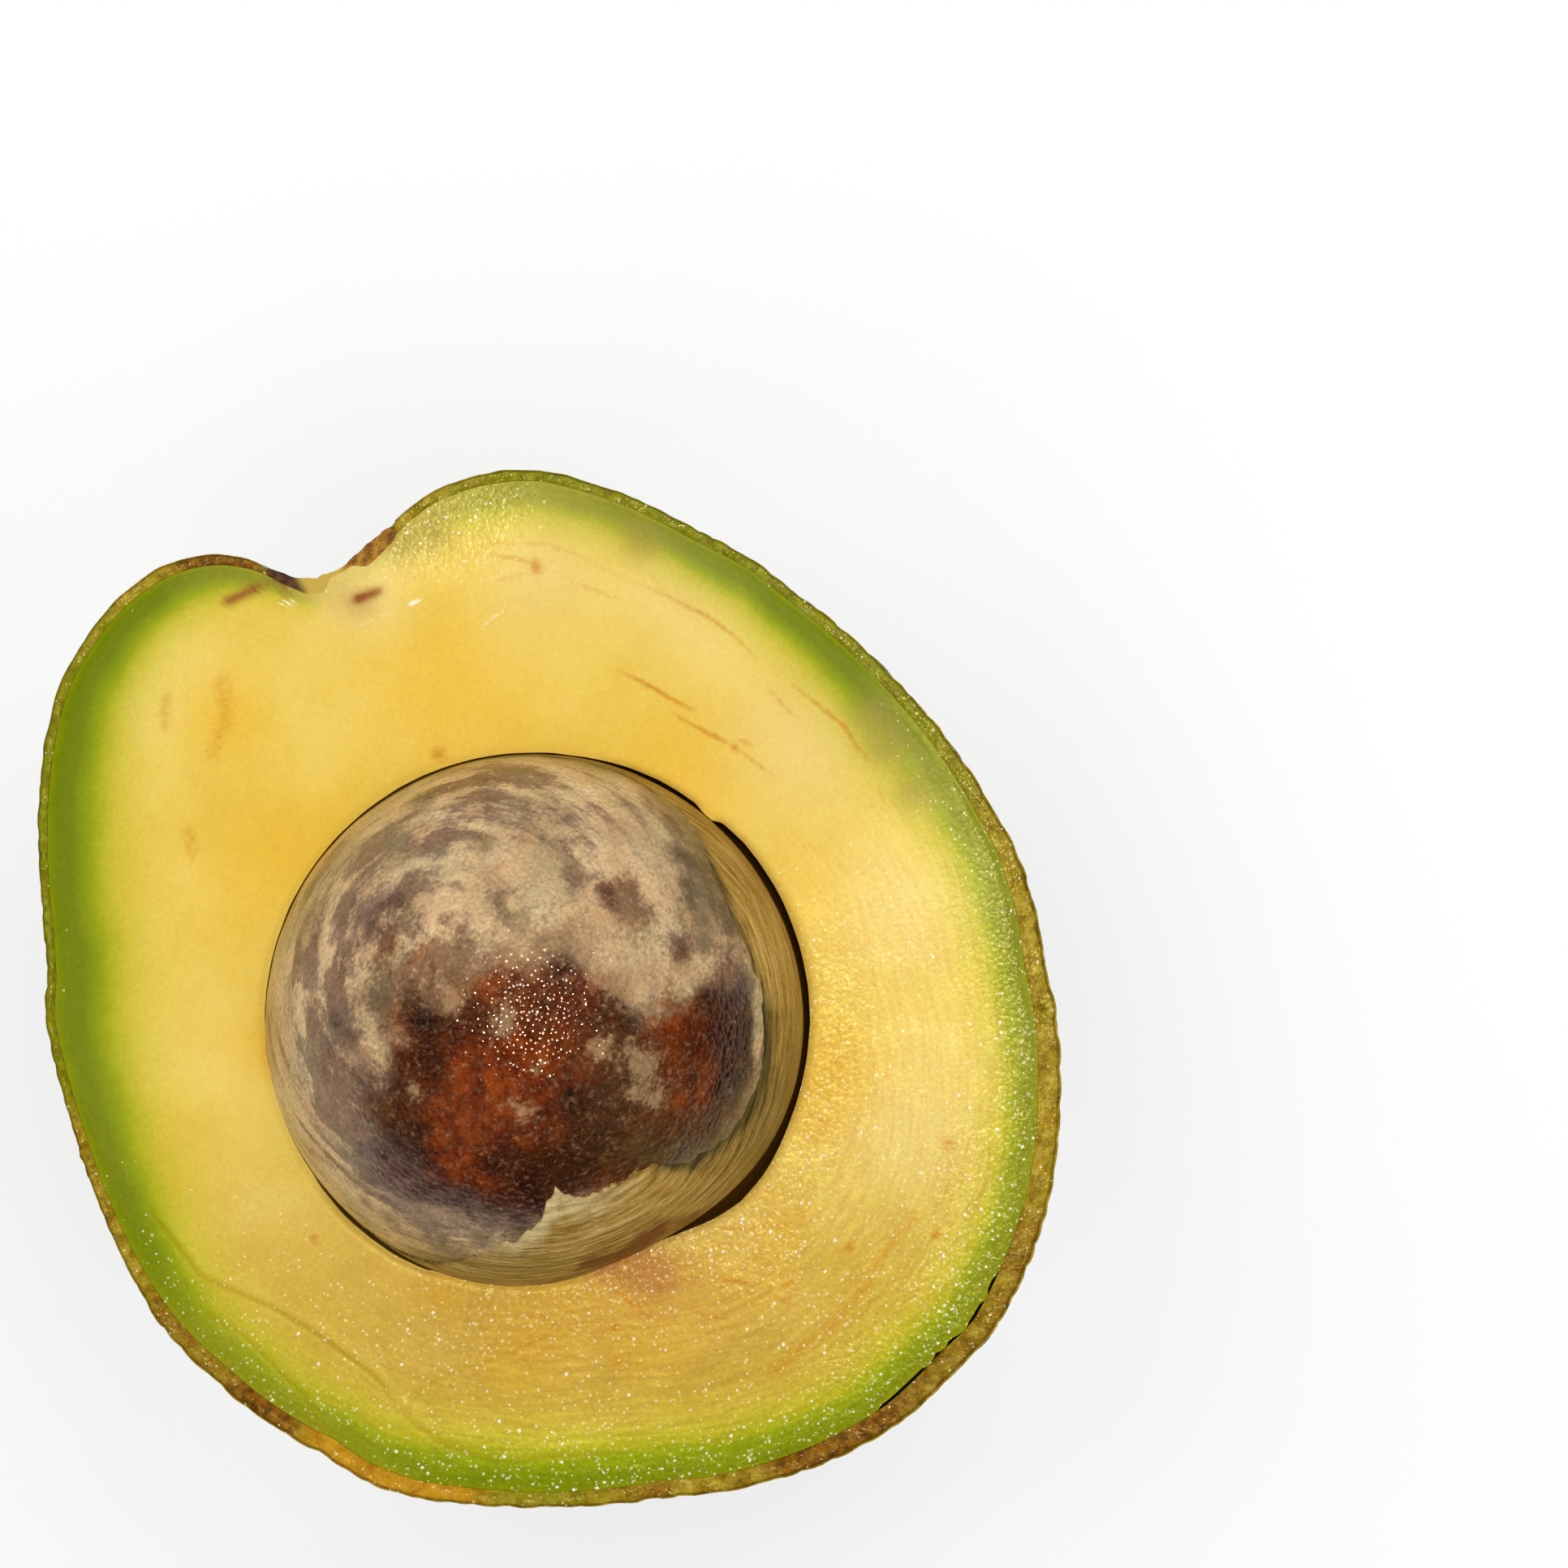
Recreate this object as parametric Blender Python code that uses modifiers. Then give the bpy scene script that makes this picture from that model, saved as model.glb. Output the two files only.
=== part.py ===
"""Half of a ripe avocado, cut lengthwise and lying on its skin, with the seed still in its hollow.

Metres, +Z up. The origin is the middle of the small flat spot that the half rests on, straight
below the middle of the seed hollow. The cut face is level. +Y runs along the fruit to the stem
end, and the stem itself sits off that line, towards +X.
"""

import math
import random

import bmesh
import bpy
from mathutils import Vector

MM = 0.001

# Overall form, as radii measured from the middle of the seed hollow
CUT_HEIGHT = 38.0 * MM
BACK_DEPTH = 38.6 * MM
MEAN_RADIUS = 41.5 * MM

# The cut outline adds these waves to the mean radius: waves in a turn, amount, and the direction
# in degrees where each adds most
OUTLINE_WAVES = (
    (1, 2.1 * MM, 51),
    (2, 3.2 * MM, 85),
    (3, 1.5 * MM, -50),
    (4, 0.8 * MM, 0),
)

# The dimple at the stem end, which runs further down the fruit's end than across it
STEM_ANGLE = math.radians(69)
STEM = Vector((math.cos(STEM_ANGLE), math.sin(STEM_ANGLE), 0.0))
DIMPLE_DEPTH = 8.5 * MM
DIMPLE_ACROSS = math.radians(8.6)
DIMPLE_DOWN = math.radians(26)

# Skin, which is thicker on the side away from the stem
SKIN_THICKNESS = 1.4 * MM
SKIN_SWING = 0.4 * MM
THICK_SIDE = Vector((0.0, -1.0, 0.0))
PEBBLE_SPACING = 5.1 * MM
PEBBLE_HEIGHT = 0.85 * MM
PEBBLE_LEAST = 0.7
PEBBLE_MOST = 1.15
PEBBLE_SINK = 0.4
PEBBLE_TOP = 0.58
PEBBLE_SEED = 7
LATTICE_NUDGE = 0.15

# Soft folds in the skin round the stem, and where the pebbles start beyond them
FOLD_COUNT = 10
FOLD_HEIGHT = 0.5 * MM
FOLDS_START = 6.5 * MM
FOLDS_FULL = 9.5 * MM
FOLDS_FADE = 12.0 * MM
FOLDS_END = 19.0 * MM

# The spot that the half rests on is smooth out to the first angle from straight below
SMOOTH_SPOT = math.radians(10)
PEBBLES_FULL = math.radians(16)

# Cork scar that the stem left in the dimple, and the bars that cut it out along the stem
SCAR_RADIUS = 5.4 * MM
BAR_LENGTH = 30.0 * MM
BAR_SIDES = 32

# Seed, its coat, and the hollow that they sit in
SEED_RADIUS = 20.3 * MM
SEED_HEIGHT = 20.6 * MM
SEED_SHIFT = Vector((-0.55, 0.36, 0.0)) * MM
HOLLOW_SHIFT = Vector((-0.40, 0.22, 0.0)) * MM
HEEL_ANGLE = math.radians(-106)
SEED_HEEL = Vector((math.cos(HEEL_ANGLE), math.sin(HEEL_ANGLE), 0.0))
HEEL_DEPTH = 1.1 * MM
HEEL_SPREAD = math.radians(17)
COAT_THICKNESS = 0.6 * MM
HOLLOW_RADIUS = 21.75 * MM

# The coat is torn off the top of the seed, and stands highest on one side
COAT_LOW = 2.4 * MM
COAT_RISE = 12.0 * MM
COAT_LEAN = 2.0 * MM
COAT_HIGH_ANGLE = math.radians(-88)
COAT_HIGH_SPREAD = math.radians(68)
COAT_TEAR = 0.9 * MM
COAT_TEAR_WAVES = (7, 11, 17)

# Space that touching pieces keep between them
GAP = 0.3 * MM

# Grid of each rounded body: squares along one side of the cube that it is blown up from
FLESH_GRID = 15
SEED_GRID = 12
HOLLOW_GRID = 11
COAT_SEGMENTS = 40
COAT_RINGS = 11
FINE_AROUND_STEM = math.radians(20)


def smooth_step(low, high, value):
    """0 below low, 1 above high, and a smooth rise between them."""
    share = min(1.0, max(0.0, (value - low) / (high - low)))
    return share * share * (3.0 - 2.0 * share)


def bell(angle, spread):
    """A bump of height 1 that dies away over a few spreads."""
    return math.exp(-0.5 * (angle / spread) ** 2)


def outline_radius(angle):
    """Radius of the cut outline without the stem dimple."""
    radius = MEAN_RADIUS
    for count, amount, towards in OUTLINE_WAVES:
        radius += amount * math.cos(count * (angle - math.radians(towards)))
    return radius


def dimple_share(direction):
    """1 at the stem, dying away over the fruit on all sides."""
    across = math.remainder(math.atan2(direction.y, direction.x) - STEM_ANGLE, math.tau)
    level = math.hypot(direction.x, direction.y)
    down = math.atan2(direction.z, level)
    return bell(across * level, DIMPLE_ACROSS) * bell(down, DIMPLE_DOWN)


def fruit_radius(direction):
    """Radius of the fruit, without pebbles, along a unit vector."""
    upright = direction.z ** 2
    rim = outline_radius(math.atan2(direction.y, direction.x))
    return rim * (1.0 - upright) + BACK_DEPTH * upright - DIMPLE_DEPTH * dimple_share(direction)


def skin_thickness(direction):
    return SKIN_THICKNESS + SKIN_SWING * direction.dot(THICK_SIDE)


def seed_radius(direction):
    """Radius of the bare seed: nearly round, flattened on the heel where it grew from the flesh."""
    upright = direction.z ** 2
    heel = HEEL_DEPTH * bell(direction.angle(SEED_HEEL), HEEL_SPREAD)
    return SEED_RADIUS * (1.0 - upright) + SEED_HEIGHT * upright - heel


def coat_edge_height(angle):
    """How far above the cut face the torn edge of the seed coat stands."""
    away = math.remainder(angle - COAT_HIGH_ANGLE, math.tau)
    high = math.exp(-((away / COAT_HIGH_SPREAD) ** 4))
    tear = sum(math.sin(count * angle + count) for count in COAT_TEAR_WAVES) / len(COAT_TEAR_WAVES)
    return COAT_LOW + high * (COAT_RISE - COAT_LEAN * math.sin(away) + COAT_TEAR * tear)


def lattice_on_sphere(count, seed):
    """Evenly spread unit vectors, each nudged a little so that no rows show."""
    rng = random.Random(seed)
    golden = math.pi * (3.0 - math.sqrt(5.0))
    nudge = LATTICE_NUDGE * math.sqrt(4.0 * math.pi / count)
    points = []
    for index in range(count):
        height = 1.0 - 2.0 * (index + 0.5) / count
        across = math.sqrt(1.0 - height * height)
        turn = golden * index
        point = Vector((across * math.cos(turn), across * math.sin(turn), height))
        for axis in range(3):
            point[axis] += rng.uniform(-nudge, nudge)
        points.append(point.normalized())
    return points


def stem_fold(direction):
    """Height of the soft folds that run out over the skin from the stem."""
    from_stem = direction.angle(STEM) * MEAN_RADIUS
    turn = math.atan2(direction.z, direction.dot(STEM.cross(Vector((0.0, 0.0, 1.0)))))
    here = smooth_step(FOLDS_START, FOLDS_FULL, from_stem)
    here *= 1.0 - smooth_step(FOLDS_FADE, FOLDS_END, from_stem)
    return FOLD_HEIGHT * here * (0.5 + 0.5 * math.cos(FOLD_COUNT * turn))


def pebble_share(direction):
    """1 where the pebbles stand full, 0 in the stem dimple and on the spot that the half rests on."""
    from_stem = direction.angle(STEM) * MEAN_RADIUS
    from_spot = math.pi - direction.angle(Vector((0.0, 0.0, 1.0)))
    grown = smooth_step(FOLDS_START, FOLDS_END, from_stem)
    return grown * smooth_step(SMOOTH_SPOT, PEBBLES_FULL, from_spot)


def clear_scene():
    for obj in list(bpy.data.objects):
        bpy.data.objects.remove(obj, do_unlink=True)


def new_collection(name):
    collection = bpy.data.collections.new(name)
    bpy.context.scene.collection.children.link(collection)
    return collection


def material(name, colour, roughness):
    made = bpy.data.materials.new(name)
    made.use_nodes = True
    shader = made.node_tree.nodes["Principled BSDF"]
    shader.inputs["Base Color"].default_value = (*colour, 1.0)
    shader.inputs["Roughness"].default_value = roughness
    shader.inputs["Metallic"].default_value = 0.0
    made.diffuse_color = (*colour, 1.0)
    return made


def add_object(name, bm, collection, finish=None):
    mesh = bpy.data.meshes.new(name)
    bm.to_mesh(mesh)
    bm.free()
    mesh.shade_smooth()
    obj = bpy.data.objects.new(name, mesh)
    collection.objects.link(obj)
    if finish is not None:
        mesh.materials.append(finish)
    return obj


def as_cutter(obj):
    obj.hide_render = True
    obj.display_type = "WIRE"
    return obj


def blow_up(bm, radius_of, centre):
    """Moves each point of a mesh round the origin out to its direction's radius."""
    for vert in bm.verts:
        direction = vert.co.normalized()
        vert.co = centre + direction * radius_of(direction)


def blown_cube(grid, radius_of, centre, fine_near_stem=False):
    """A cube with a grid on each side, blown up so that each point lies at its direction's radius."""
    bm = bmesh.new()
    bmesh.ops.create_cube(bm, size=2.0)
    bmesh.ops.subdivide_edges(bm, edges=bm.edges[:], cuts=grid - 1, use_grid_fill=True)
    for vert in bm.verts:
        # The tangent spaces the grid evenly over the ball
        vert.co = Vector([math.tan(value * math.pi / 4.0) for value in vert.co]).normalized()
    if fine_near_stem:
        near = [
            edge for edge in bm.edges
            if (edge.verts[0].co + edge.verts[1].co).angle(STEM) < FINE_AROUND_STEM
        ]
        bmesh.ops.subdivide_edges(bm, edges=near, cuts=1, use_grid_fill=True)
    blow_up(bm, radius_of, centre)
    bmesh.ops.triangulate(bm, faces=bm.faces[:], quad_method="SHORT_EDGE")
    return bm


def cells_on_sphere(count, seed):
    """A unit ball of many-sided cells, one round each point of a lattice."""
    bm = bmesh.new()
    middles = [bm.verts.new(point) for point in lattice_on_sphere(count, seed)]
    bmesh.ops.convex_hull(bm, input=middles)
    between_middles = bm.edges[:]
    bmesh.ops.poke(bm, faces=bm.faces[:])
    bmesh.ops.rotate_edges(bm, edges=between_middles)
    bmesh.ops.dissolve_verts(bm, verts=middles)
    return bm


def pebbled_ball(centre):
    """The outside of the skin: each cell holds a low hill, with its foot sunk a little in the fruit."""
    area = math.sqrt(3.0) / 2.0 * PEBBLE_SPACING ** 2
    bm = cells_on_sphere(round(4.0 * math.pi * MEAN_RADIUS ** 2 / area), PEBBLE_SEED)
    rise = bm.verts.layers.float.new("rise")
    rng = random.Random(PEBBLE_SEED + 1)
    cells = bm.faces[:]
    bmesh.ops.inset_individual(bm, faces=cells, thickness=0.0)
    for cell in cells:
        middle = cell.calc_center_median()
        height = rng.uniform(PEBBLE_LEAST, PEBBLE_MOST)
        for vert in cell.verts:
            vert.co = middle.lerp(vert.co, PEBBLE_TOP)
            vert[rise] = height
    for vert in bm.verts:
        direction = vert.co.normalized()
        pebble = PEBBLE_HEIGHT * (vert[rise] - PEBBLE_SINK) * pebble_share(direction)
        vert.co = centre + direction * (fruit_radius(direction) + pebble + stem_fold(direction))
    bmesh.ops.triangulate(bm, faces=bm.faces[:])
    bmesh.ops.recalc_face_normals(bm, faces=bm.faces[:])
    return bm


def trim(bm, height, keep_below):
    """Cuts the body level at a height and closes the cut with one flat face."""
    everything = bm.verts[:] + bm.edges[:] + bm.faces[:]
    cut = bmesh.ops.bisect_plane(
        bm,
        geom=everything,
        dist=1e-7,
        plane_co=(0.0, 0.0, height),
        plane_no=(0.0, 0.0, 1.0),
        clear_outer=keep_below,
        clear_inner=not keep_below,
    )
    border = [item for item in cut["geom_cut"] if isinstance(item, bmesh.types.BMEdge)]
    bmesh.ops.contextual_create(bm, geom=border)
    bmesh.ops.recalc_face_normals(bm, faces=bm.faces[:])


def boolean(obj, other, operation):
    modifier = obj.modifiers.new(operation.title(), "BOOLEAN")
    modifier.operation = operation
    modifier.solver = "EXACT"
    modifier.object = other


def stem_cylinder(name, radius, collection):
    """A round bar along the stem, through the dimple's wall, for cutting the skin and the scar."""
    bm = bmesh.new()
    bmesh.ops.create_cone(
        bm, cap_ends=True, segments=BAR_SIDES, radius1=radius, radius2=radius, depth=BAR_LENGTH
    )
    obj = as_cutter(add_object(name, bm, collection))
    obj.location = HOLLOW_CENTRE + STEM * MEAN_RADIUS
    obj.rotation_mode = "QUATERNION"
    obj.rotation_quaternion = STEM.to_track_quat("Z", "Y")
    return obj


def make_inner_body(cutters):
    """The fruit inside its skin, which hollows out the skin and the scar."""
    bm = blown_cube(
        FLESH_GRID, lambda n: fruit_radius(n) - skin_thickness(n), HOLLOW_CENTRE, fine_near_stem=True
    )
    return as_cutter(add_object("inside_of_skin", bm, cutters))


def make_skin(parts, inner, stem_bar):
    bm = pebbled_ball(HOLLOW_CENTRE)
    trim(bm, CUT_HEIGHT, keep_below=True)
    trim(bm, 0.0, keep_below=False)
    skin = add_object("skin", bm, parts, material("skin", (0.045, 0.050, 0.018), 0.42))
    boolean(skin, inner, "DIFFERENCE")
    boolean(skin, stem_bar, "DIFFERENCE")
    return skin


def make_stem_scar(parts, inner, scar_bar):
    """A cap of cork that lines the bottom of the dimple, where the stem was."""
    bm = blown_cube(FLESH_GRID, fruit_radius, HOLLOW_CENTRE, fine_near_stem=True)
    trim(bm, CUT_HEIGHT, keep_below=True)
    scar = add_object("stem_scar", bm, parts, material("cork", (0.20, 0.085, 0.030), 0.85))
    boolean(scar, scar_bar, "INTERSECT")
    boolean(scar, inner, "DIFFERENCE")
    return scar


def make_flesh(parts, cutters):
    bm = blown_cube(
        FLESH_GRID, lambda n: fruit_radius(n) - skin_thickness(n) - GAP, HOLLOW_CENTRE,
        fine_near_stem=True,
    )
    trim(bm, CUT_HEIGHT, keep_below=True)
    flesh = add_object("flesh", bm, parts, material("flesh", (0.82, 0.60, 0.13), 0.45))
    around_seed = HOLLOW_RADIUS - SEED_RADIUS
    bm = blown_cube(HOLLOW_GRID, lambda n: seed_radius(n) + around_seed, HOLLOW_CENTRE + HOLLOW_SHIFT)
    boolean(flesh, as_cutter(add_object("seed_hollow", bm, cutters)), "DIFFERENCE")
    return flesh


def make_seed(parts):
    bm = blown_cube(SEED_GRID, seed_radius, SEED_CENTRE)
    return add_object("seed", bm, parts, material("seed", (0.155, 0.052, 0.026), 0.40))


def make_seed_coat(parts):
    """A thin cup round the lower seed: an open ball whose last ring is drawn out to the torn edge."""
    bm = bmesh.new()
    bmesh.ops.create_uvsphere(bm, u_segments=COAT_SEGMENTS, v_segments=COAT_RINGS, radius=1.0)
    top = max(bm.verts, key=lambda vert: vert.co.z)
    bmesh.ops.delete(bm, geom=[top], context="VERTS")
    last_ring = math.pi * (COAT_RINGS - 1) / COAT_RINGS
    inside = COAT_THICKNESS + GAP
    for vert in bm.verts:
        turn = math.atan2(vert.co.y, vert.co.x)
        from_bottom = math.acos(max(-1.0, min(1.0, -vert.co.z)))
        edge = math.pi / 2.0 + math.asin(coat_edge_height(turn) / (SEED_HEIGHT + inside))
        from_bottom *= edge / last_ring
        across = math.sin(from_bottom)
        direction = Vector((across * math.cos(turn), across * math.sin(turn), -math.cos(from_bottom)))
        vert.co = SEED_CENTRE + direction * (seed_radius(direction) + inside)
    coat = add_object("seed_coat", bm, parts, material("seed_coat", (0.50, 0.36, 0.15), 0.70))
    wall = coat.modifiers.new("Wall", "SOLIDIFY")
    wall.thickness = COAT_THICKNESS
    wall.offset = -1.0
    return coat


HOLLOW_CENTRE = Vector((0.0, 0.0, CUT_HEIGHT))
SEED_CENTRE = HOLLOW_CENTRE + SEED_SHIFT


def main():
    clear_scene()
    parts = new_collection("avocado_half")
    cutters = new_collection("cutters")
    inner = make_inner_body(cutters)
    skin_bar = stem_cylinder("stem_bar_for_skin", SCAR_RADIUS + GAP, cutters)
    scar_bar = stem_cylinder("stem_bar_for_scar", SCAR_RADIUS, cutters)
    make_skin(parts, inner, skin_bar)
    make_stem_scar(parts, inner, scar_bar)
    make_flesh(parts, cutters)
    make_seed(parts)
    make_seed_coat(parts)


main()
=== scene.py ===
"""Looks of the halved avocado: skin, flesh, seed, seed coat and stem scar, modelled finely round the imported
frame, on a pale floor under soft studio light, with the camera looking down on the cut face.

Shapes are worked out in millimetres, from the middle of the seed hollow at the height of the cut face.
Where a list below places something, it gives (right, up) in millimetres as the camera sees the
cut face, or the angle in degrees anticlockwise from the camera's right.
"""

import math

import bmesh
import bpy
import numpy as np
from mathutils import Matrix, Vector, kdtree, noise


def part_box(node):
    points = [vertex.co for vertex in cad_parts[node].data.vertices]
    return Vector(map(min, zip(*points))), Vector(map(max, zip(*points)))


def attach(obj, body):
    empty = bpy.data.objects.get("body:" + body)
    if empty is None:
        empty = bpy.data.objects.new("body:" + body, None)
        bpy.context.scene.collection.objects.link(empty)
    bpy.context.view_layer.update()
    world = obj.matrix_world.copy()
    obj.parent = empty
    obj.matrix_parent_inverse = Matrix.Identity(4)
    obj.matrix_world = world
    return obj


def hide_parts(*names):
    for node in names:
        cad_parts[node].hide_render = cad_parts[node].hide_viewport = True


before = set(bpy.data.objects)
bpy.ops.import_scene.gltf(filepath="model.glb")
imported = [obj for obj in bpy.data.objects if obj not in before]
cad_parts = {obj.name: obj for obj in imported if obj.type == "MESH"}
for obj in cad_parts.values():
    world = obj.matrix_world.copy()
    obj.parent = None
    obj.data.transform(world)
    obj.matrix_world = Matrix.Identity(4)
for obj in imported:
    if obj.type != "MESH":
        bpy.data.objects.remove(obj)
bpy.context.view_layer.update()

MM = 0.001

# Places read off the frame
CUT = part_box("flesh")[1][2] / MM
SEED_LOW, SEED_HIGH = (np.array(corner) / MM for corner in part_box("seed"))
SEED_MIDDLE = np.array(((SEED_LOW[0] + SEED_HIGH[0]) / 2.0, (SEED_LOW[1] + SEED_HIGH[1]) / 2.0 - 0.3, 0.0))
SEED_TOP = SEED_HIGH[2] - CUT

# The camera sees the half turned by this much, so that the stem end points up and to the left
SEEN_TURN = math.radians(45)

# Camera: it looks straight down, at this place of the cut face, and sees this width of it
LENS = 100.0
SENSOR = 36.0
VIEW_WIDTH = 124.6
AIM = (19.4, 18.6)
EYE_HEIGHT = VIEW_WIDTH * LENS / SENSOR

# Form of the fruit, the same as the solids have
BACK_DEPTH = 38.6
MEAN_RADIUS = 41.5
OUTLINE_WAVES = ((1, 2.1, 51), (2, 3.2, 85), (3, 1.5, -50), (4, 0.8, 0))
STEM_ANGLE = math.radians(69)
STEM = np.array((math.cos(STEM_ANGLE), math.sin(STEM_ANGLE), 0.0))
DIMPLE_DEPTH = 8.5
DIMPLE_ACROSS = math.radians(8.6)
DIMPLE_DOWN = math.radians(26)
SCAR_RADIUS = 5.3

# How the outline of the cut face departs from those waves, by angle as seen
OUTLINE_DETAIL = (
    (0, -0.3), (6, -0.4), (12, 0), (20, 0.3), (25, 0.1), (35, 0), (45, -0.15), (60, -0.2), (65, 0.1),
    (72, -0.1), (80, 0.1), (90, 0), (95, -0.45), (99, -0.5), (103, -0.1), (107.5, 0.3), (111, 0.35),
    (113.5, -0.1), (115.3, -0.4), (117.5, -0.9), (119, -1.1), (121, -0.45), (122.5, 0.15), (125, 0.4),
    (128, 0.2), (133, -0.1), (140, 0), (145, 0.3), (150, 0.05), (160, -0.4), (170, -0.6), (175, -0.35),
    (180, 0.4), (187, 0.35), (195, 0.15), (205, -0.05), (220, -0.15), (229, -0.55), (244, -0.4),
    (249, 0.4), (255, 0.65), (265, 0.25), (275, 0), (285, -0.4), (290, -0.1), (312, 0.3), (320, 0),
    (325, 0.4), (331, 0.1), (343, -0.15), (351, -0.35),
)
DETAIL_FADE = math.radians(14)

# Seed and coat
SEED_SIDE = 21.0
HEEL_ANGLE = math.radians(-106)
HEEL = np.array((math.cos(HEEL_ANGLE), math.sin(HEEL_ANGLE), 0.0))
HEEL_DEPTH = 1.1
HEEL_SPREAD = math.radians(17)

# Thickness of the coat, by angle as seen: it stands off the seed on the right
COAT_THICKNESS = ((0, 0.6), (30, 0.4), (60, 0.22), (200, 0.22), (290, 0.25), (325, 0.45), (345, 0.6))

# Height of the coat's torn edge over the cut face, by angle as seen
COAT_EDGE = (
    (0, 9.8), (14, 10.6), (29, 10.4), (42, 8.6), (58, 5.2), (70, 2.6), (85, 1.6), (100, 1.2), (120, 1),
    (200, 1), (225, 1.8), (240, 3.4), (248, 6.1), (257, 10.6), (266, 13.1), (272, 14), (276, 14.8),
    (279, 16.2), (283, 17.1), (286, 16.4), (294, 16), (305, 15.8), (311, 15.5), (315, 15.1),
    (318.5, 13.8), (329, 12), (338, 10.4), (348, 9.6),
)

# Dark gap between the coat and the flesh, by angle as seen
COAT_GAP = (
    (0, 0.5), (25, 0.6), (40, 0.6), (46, 0.45), (48, 0.05), (50, 0.05), (53, 0.3), (62, 0.35),
    (72, 0.2), (80, 0.05), (90, 0.02), (200, 0.02), (215, 0.08), (225, 0.3), (238, 0.4), (247, 0.35),
    (252, 0.05), (256, 0.02), (298, 0.02), (305, 0.35), (312, 0.85), (319, 1.15), (328, 0.95),
    (336, 0.62), (345, 0.45),
)

# Thickness of the skin in the cut, by angle as seen
SKIN_EDGE = (
    (0, 1.75), (40, 1.1), (60, 0.8), (100, 0.9), (112, 1.1), (122, 1.1), (140, 0.85), (180, 0.7),
    (205, 0.95), (225, 1.4), (250, 1.5), (270, 1.2), (290, 1.4), (315, 1.9), (335, 1.9),
)

# Width of the green band under the skin and how green it is, by angle as seen
GREEN_WIDTH = (
    (0, 2.4), (20, 2.8), (40, 3.2), (55, 2.6), (75, 2.2), (95, 2.4), (110, 1), (118, 1), (123, 2),
    (135, 2.9), (150, 4.2), (180, 4.4), (205, 3.4), (222, 2.6), (240, 2.3), (270, 2.8), (300, 2.5),
    (325, 2.2), (345, 2.2),
)
GREEN_SHARE = (
    (0, 0.85), (20, 0.9), (40, 1), (60, 1), (80, 0.85), (98, 0.65), (110, 0.15), (117, 0.15),
    (121, 0.8), (132, 1), (150, 1), (212, 0.95), (226, 0.76), (242, 0.78), (262, 0.95), (300, 0.9),
    (330, 0.85),
)

# How far the green goes over to a bright lime green, by angle as seen
LIME_SHARE = (
    (0, 0.5), (25, 0.25), (60, 0.1), (100, 0.2), (200, 0.25), (222, 0.8), (260, 0.9), (300, 1),
    (340, 0.7),
)

# Fibres cut open in the flesh, thin orange-brown lines, each with its strength
FIBRES = (
    (((-7.0, 37.2), (-4.2, 37.7), (0.8, 37.6), (3.4, 36.6), (6.1, 35.2), (8.2, 34.4)), 0.35),
    (((8.2, 34.4), (10.2, 33.5), (13.3, 31.9), (15.4, 30.4), (17.2, 28.6)), 0.6),
    (((8.6, 35.6), (9.3, 34.7), (10.2, 33.7)), 0.35),
    (((-4.2, 36.8), (-2.1, 36.6), (-0.3, 36.0)), 0.6),
    (((-3.6, 34.8), (-1.5, 35.2), (0.0, 35.9)), 0.4),
    (((2.0, 34.9), (4.5, 33.9), (6.7, 33.1)), 0.4),
    (((6.1, 27.7), (8.6, 26.5), (10.2, 25.5), (12.3, 24.4)), 0.8),
    (((10.6, 24.2), (12.3, 23.2), (14.3, 22.2), (15.6, 21.4)), 0.75),
    (((15.6, 21.4), (17.2, 20.3), (18.4, 19.3)), 0.5),
    (((15.6, 22.2), (17.0, 21.6)), 0.6),
    (((20.1, 26.5), (22.3, 24.7), (24.2, 23.2), (25.2, 21.6), (26.3, 20.3)), 0.7),
    (((18.2, 26.1), (19.5, 24.7), (20.5, 23.9)), 0.5),
    (((26.9, 18.3), (27.3, 17.5)), 0.6),
    (((13.5, -20.5), (17.0, -21.2)), 0.7),
    (((19.1, -21.3), (21.0, -20.8)), 0.7),
    (((18.3, -22.1), (20.4, -22.8)), 0.6),
    (((12.0, -23.1), (13.5, -23.7), (15.4, -24.1)), 0.6),
    (((5.7, -21.4), (8.8, -23.9)), 0.7),
    (((12.8, -16.6), (16.2, -16.8), (20.7, -16.3)), 0.6),
    (((-20.0, -4.6), (-17.4, -6.4)), 0.4),
)
FIBRE_WIDTH = 0.18

# Broad soft streaks of deeper yellow, with their width
STREAKS = (
    (((29.6, -15.8), (27.3, -18.7), (25.9, -21.3), (23.0, -24.8), (20.7, -26.1), (18.6, -28.2)), 0.55),
    (((-29.7, 25.5), (-29.9, 23.2)), 0.45),
    (((-25.2, 26.8), (-25.0, 24.0), (-26.0, 21.0)), 0.6),
    (((-27.9, 14.8), (-27.6, 13.2)), 0.5),
)

# Orange-brown specks: place and size
SPECKS = (
    (-0.3, 35.9, 0.5), (8.5, 26.5, 0.25), (15.5, 21.5, 0.3), (24.6, -18.2, 0.35), (32.5, -10, 0.4),
    (31.5, -17.2, 0.3), (5.9, -24.6, 0.35), (-8.1, 21, 0.5), (-18, -17.5, 0.3), (6.2, -27.3, 0.3),
)

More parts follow.
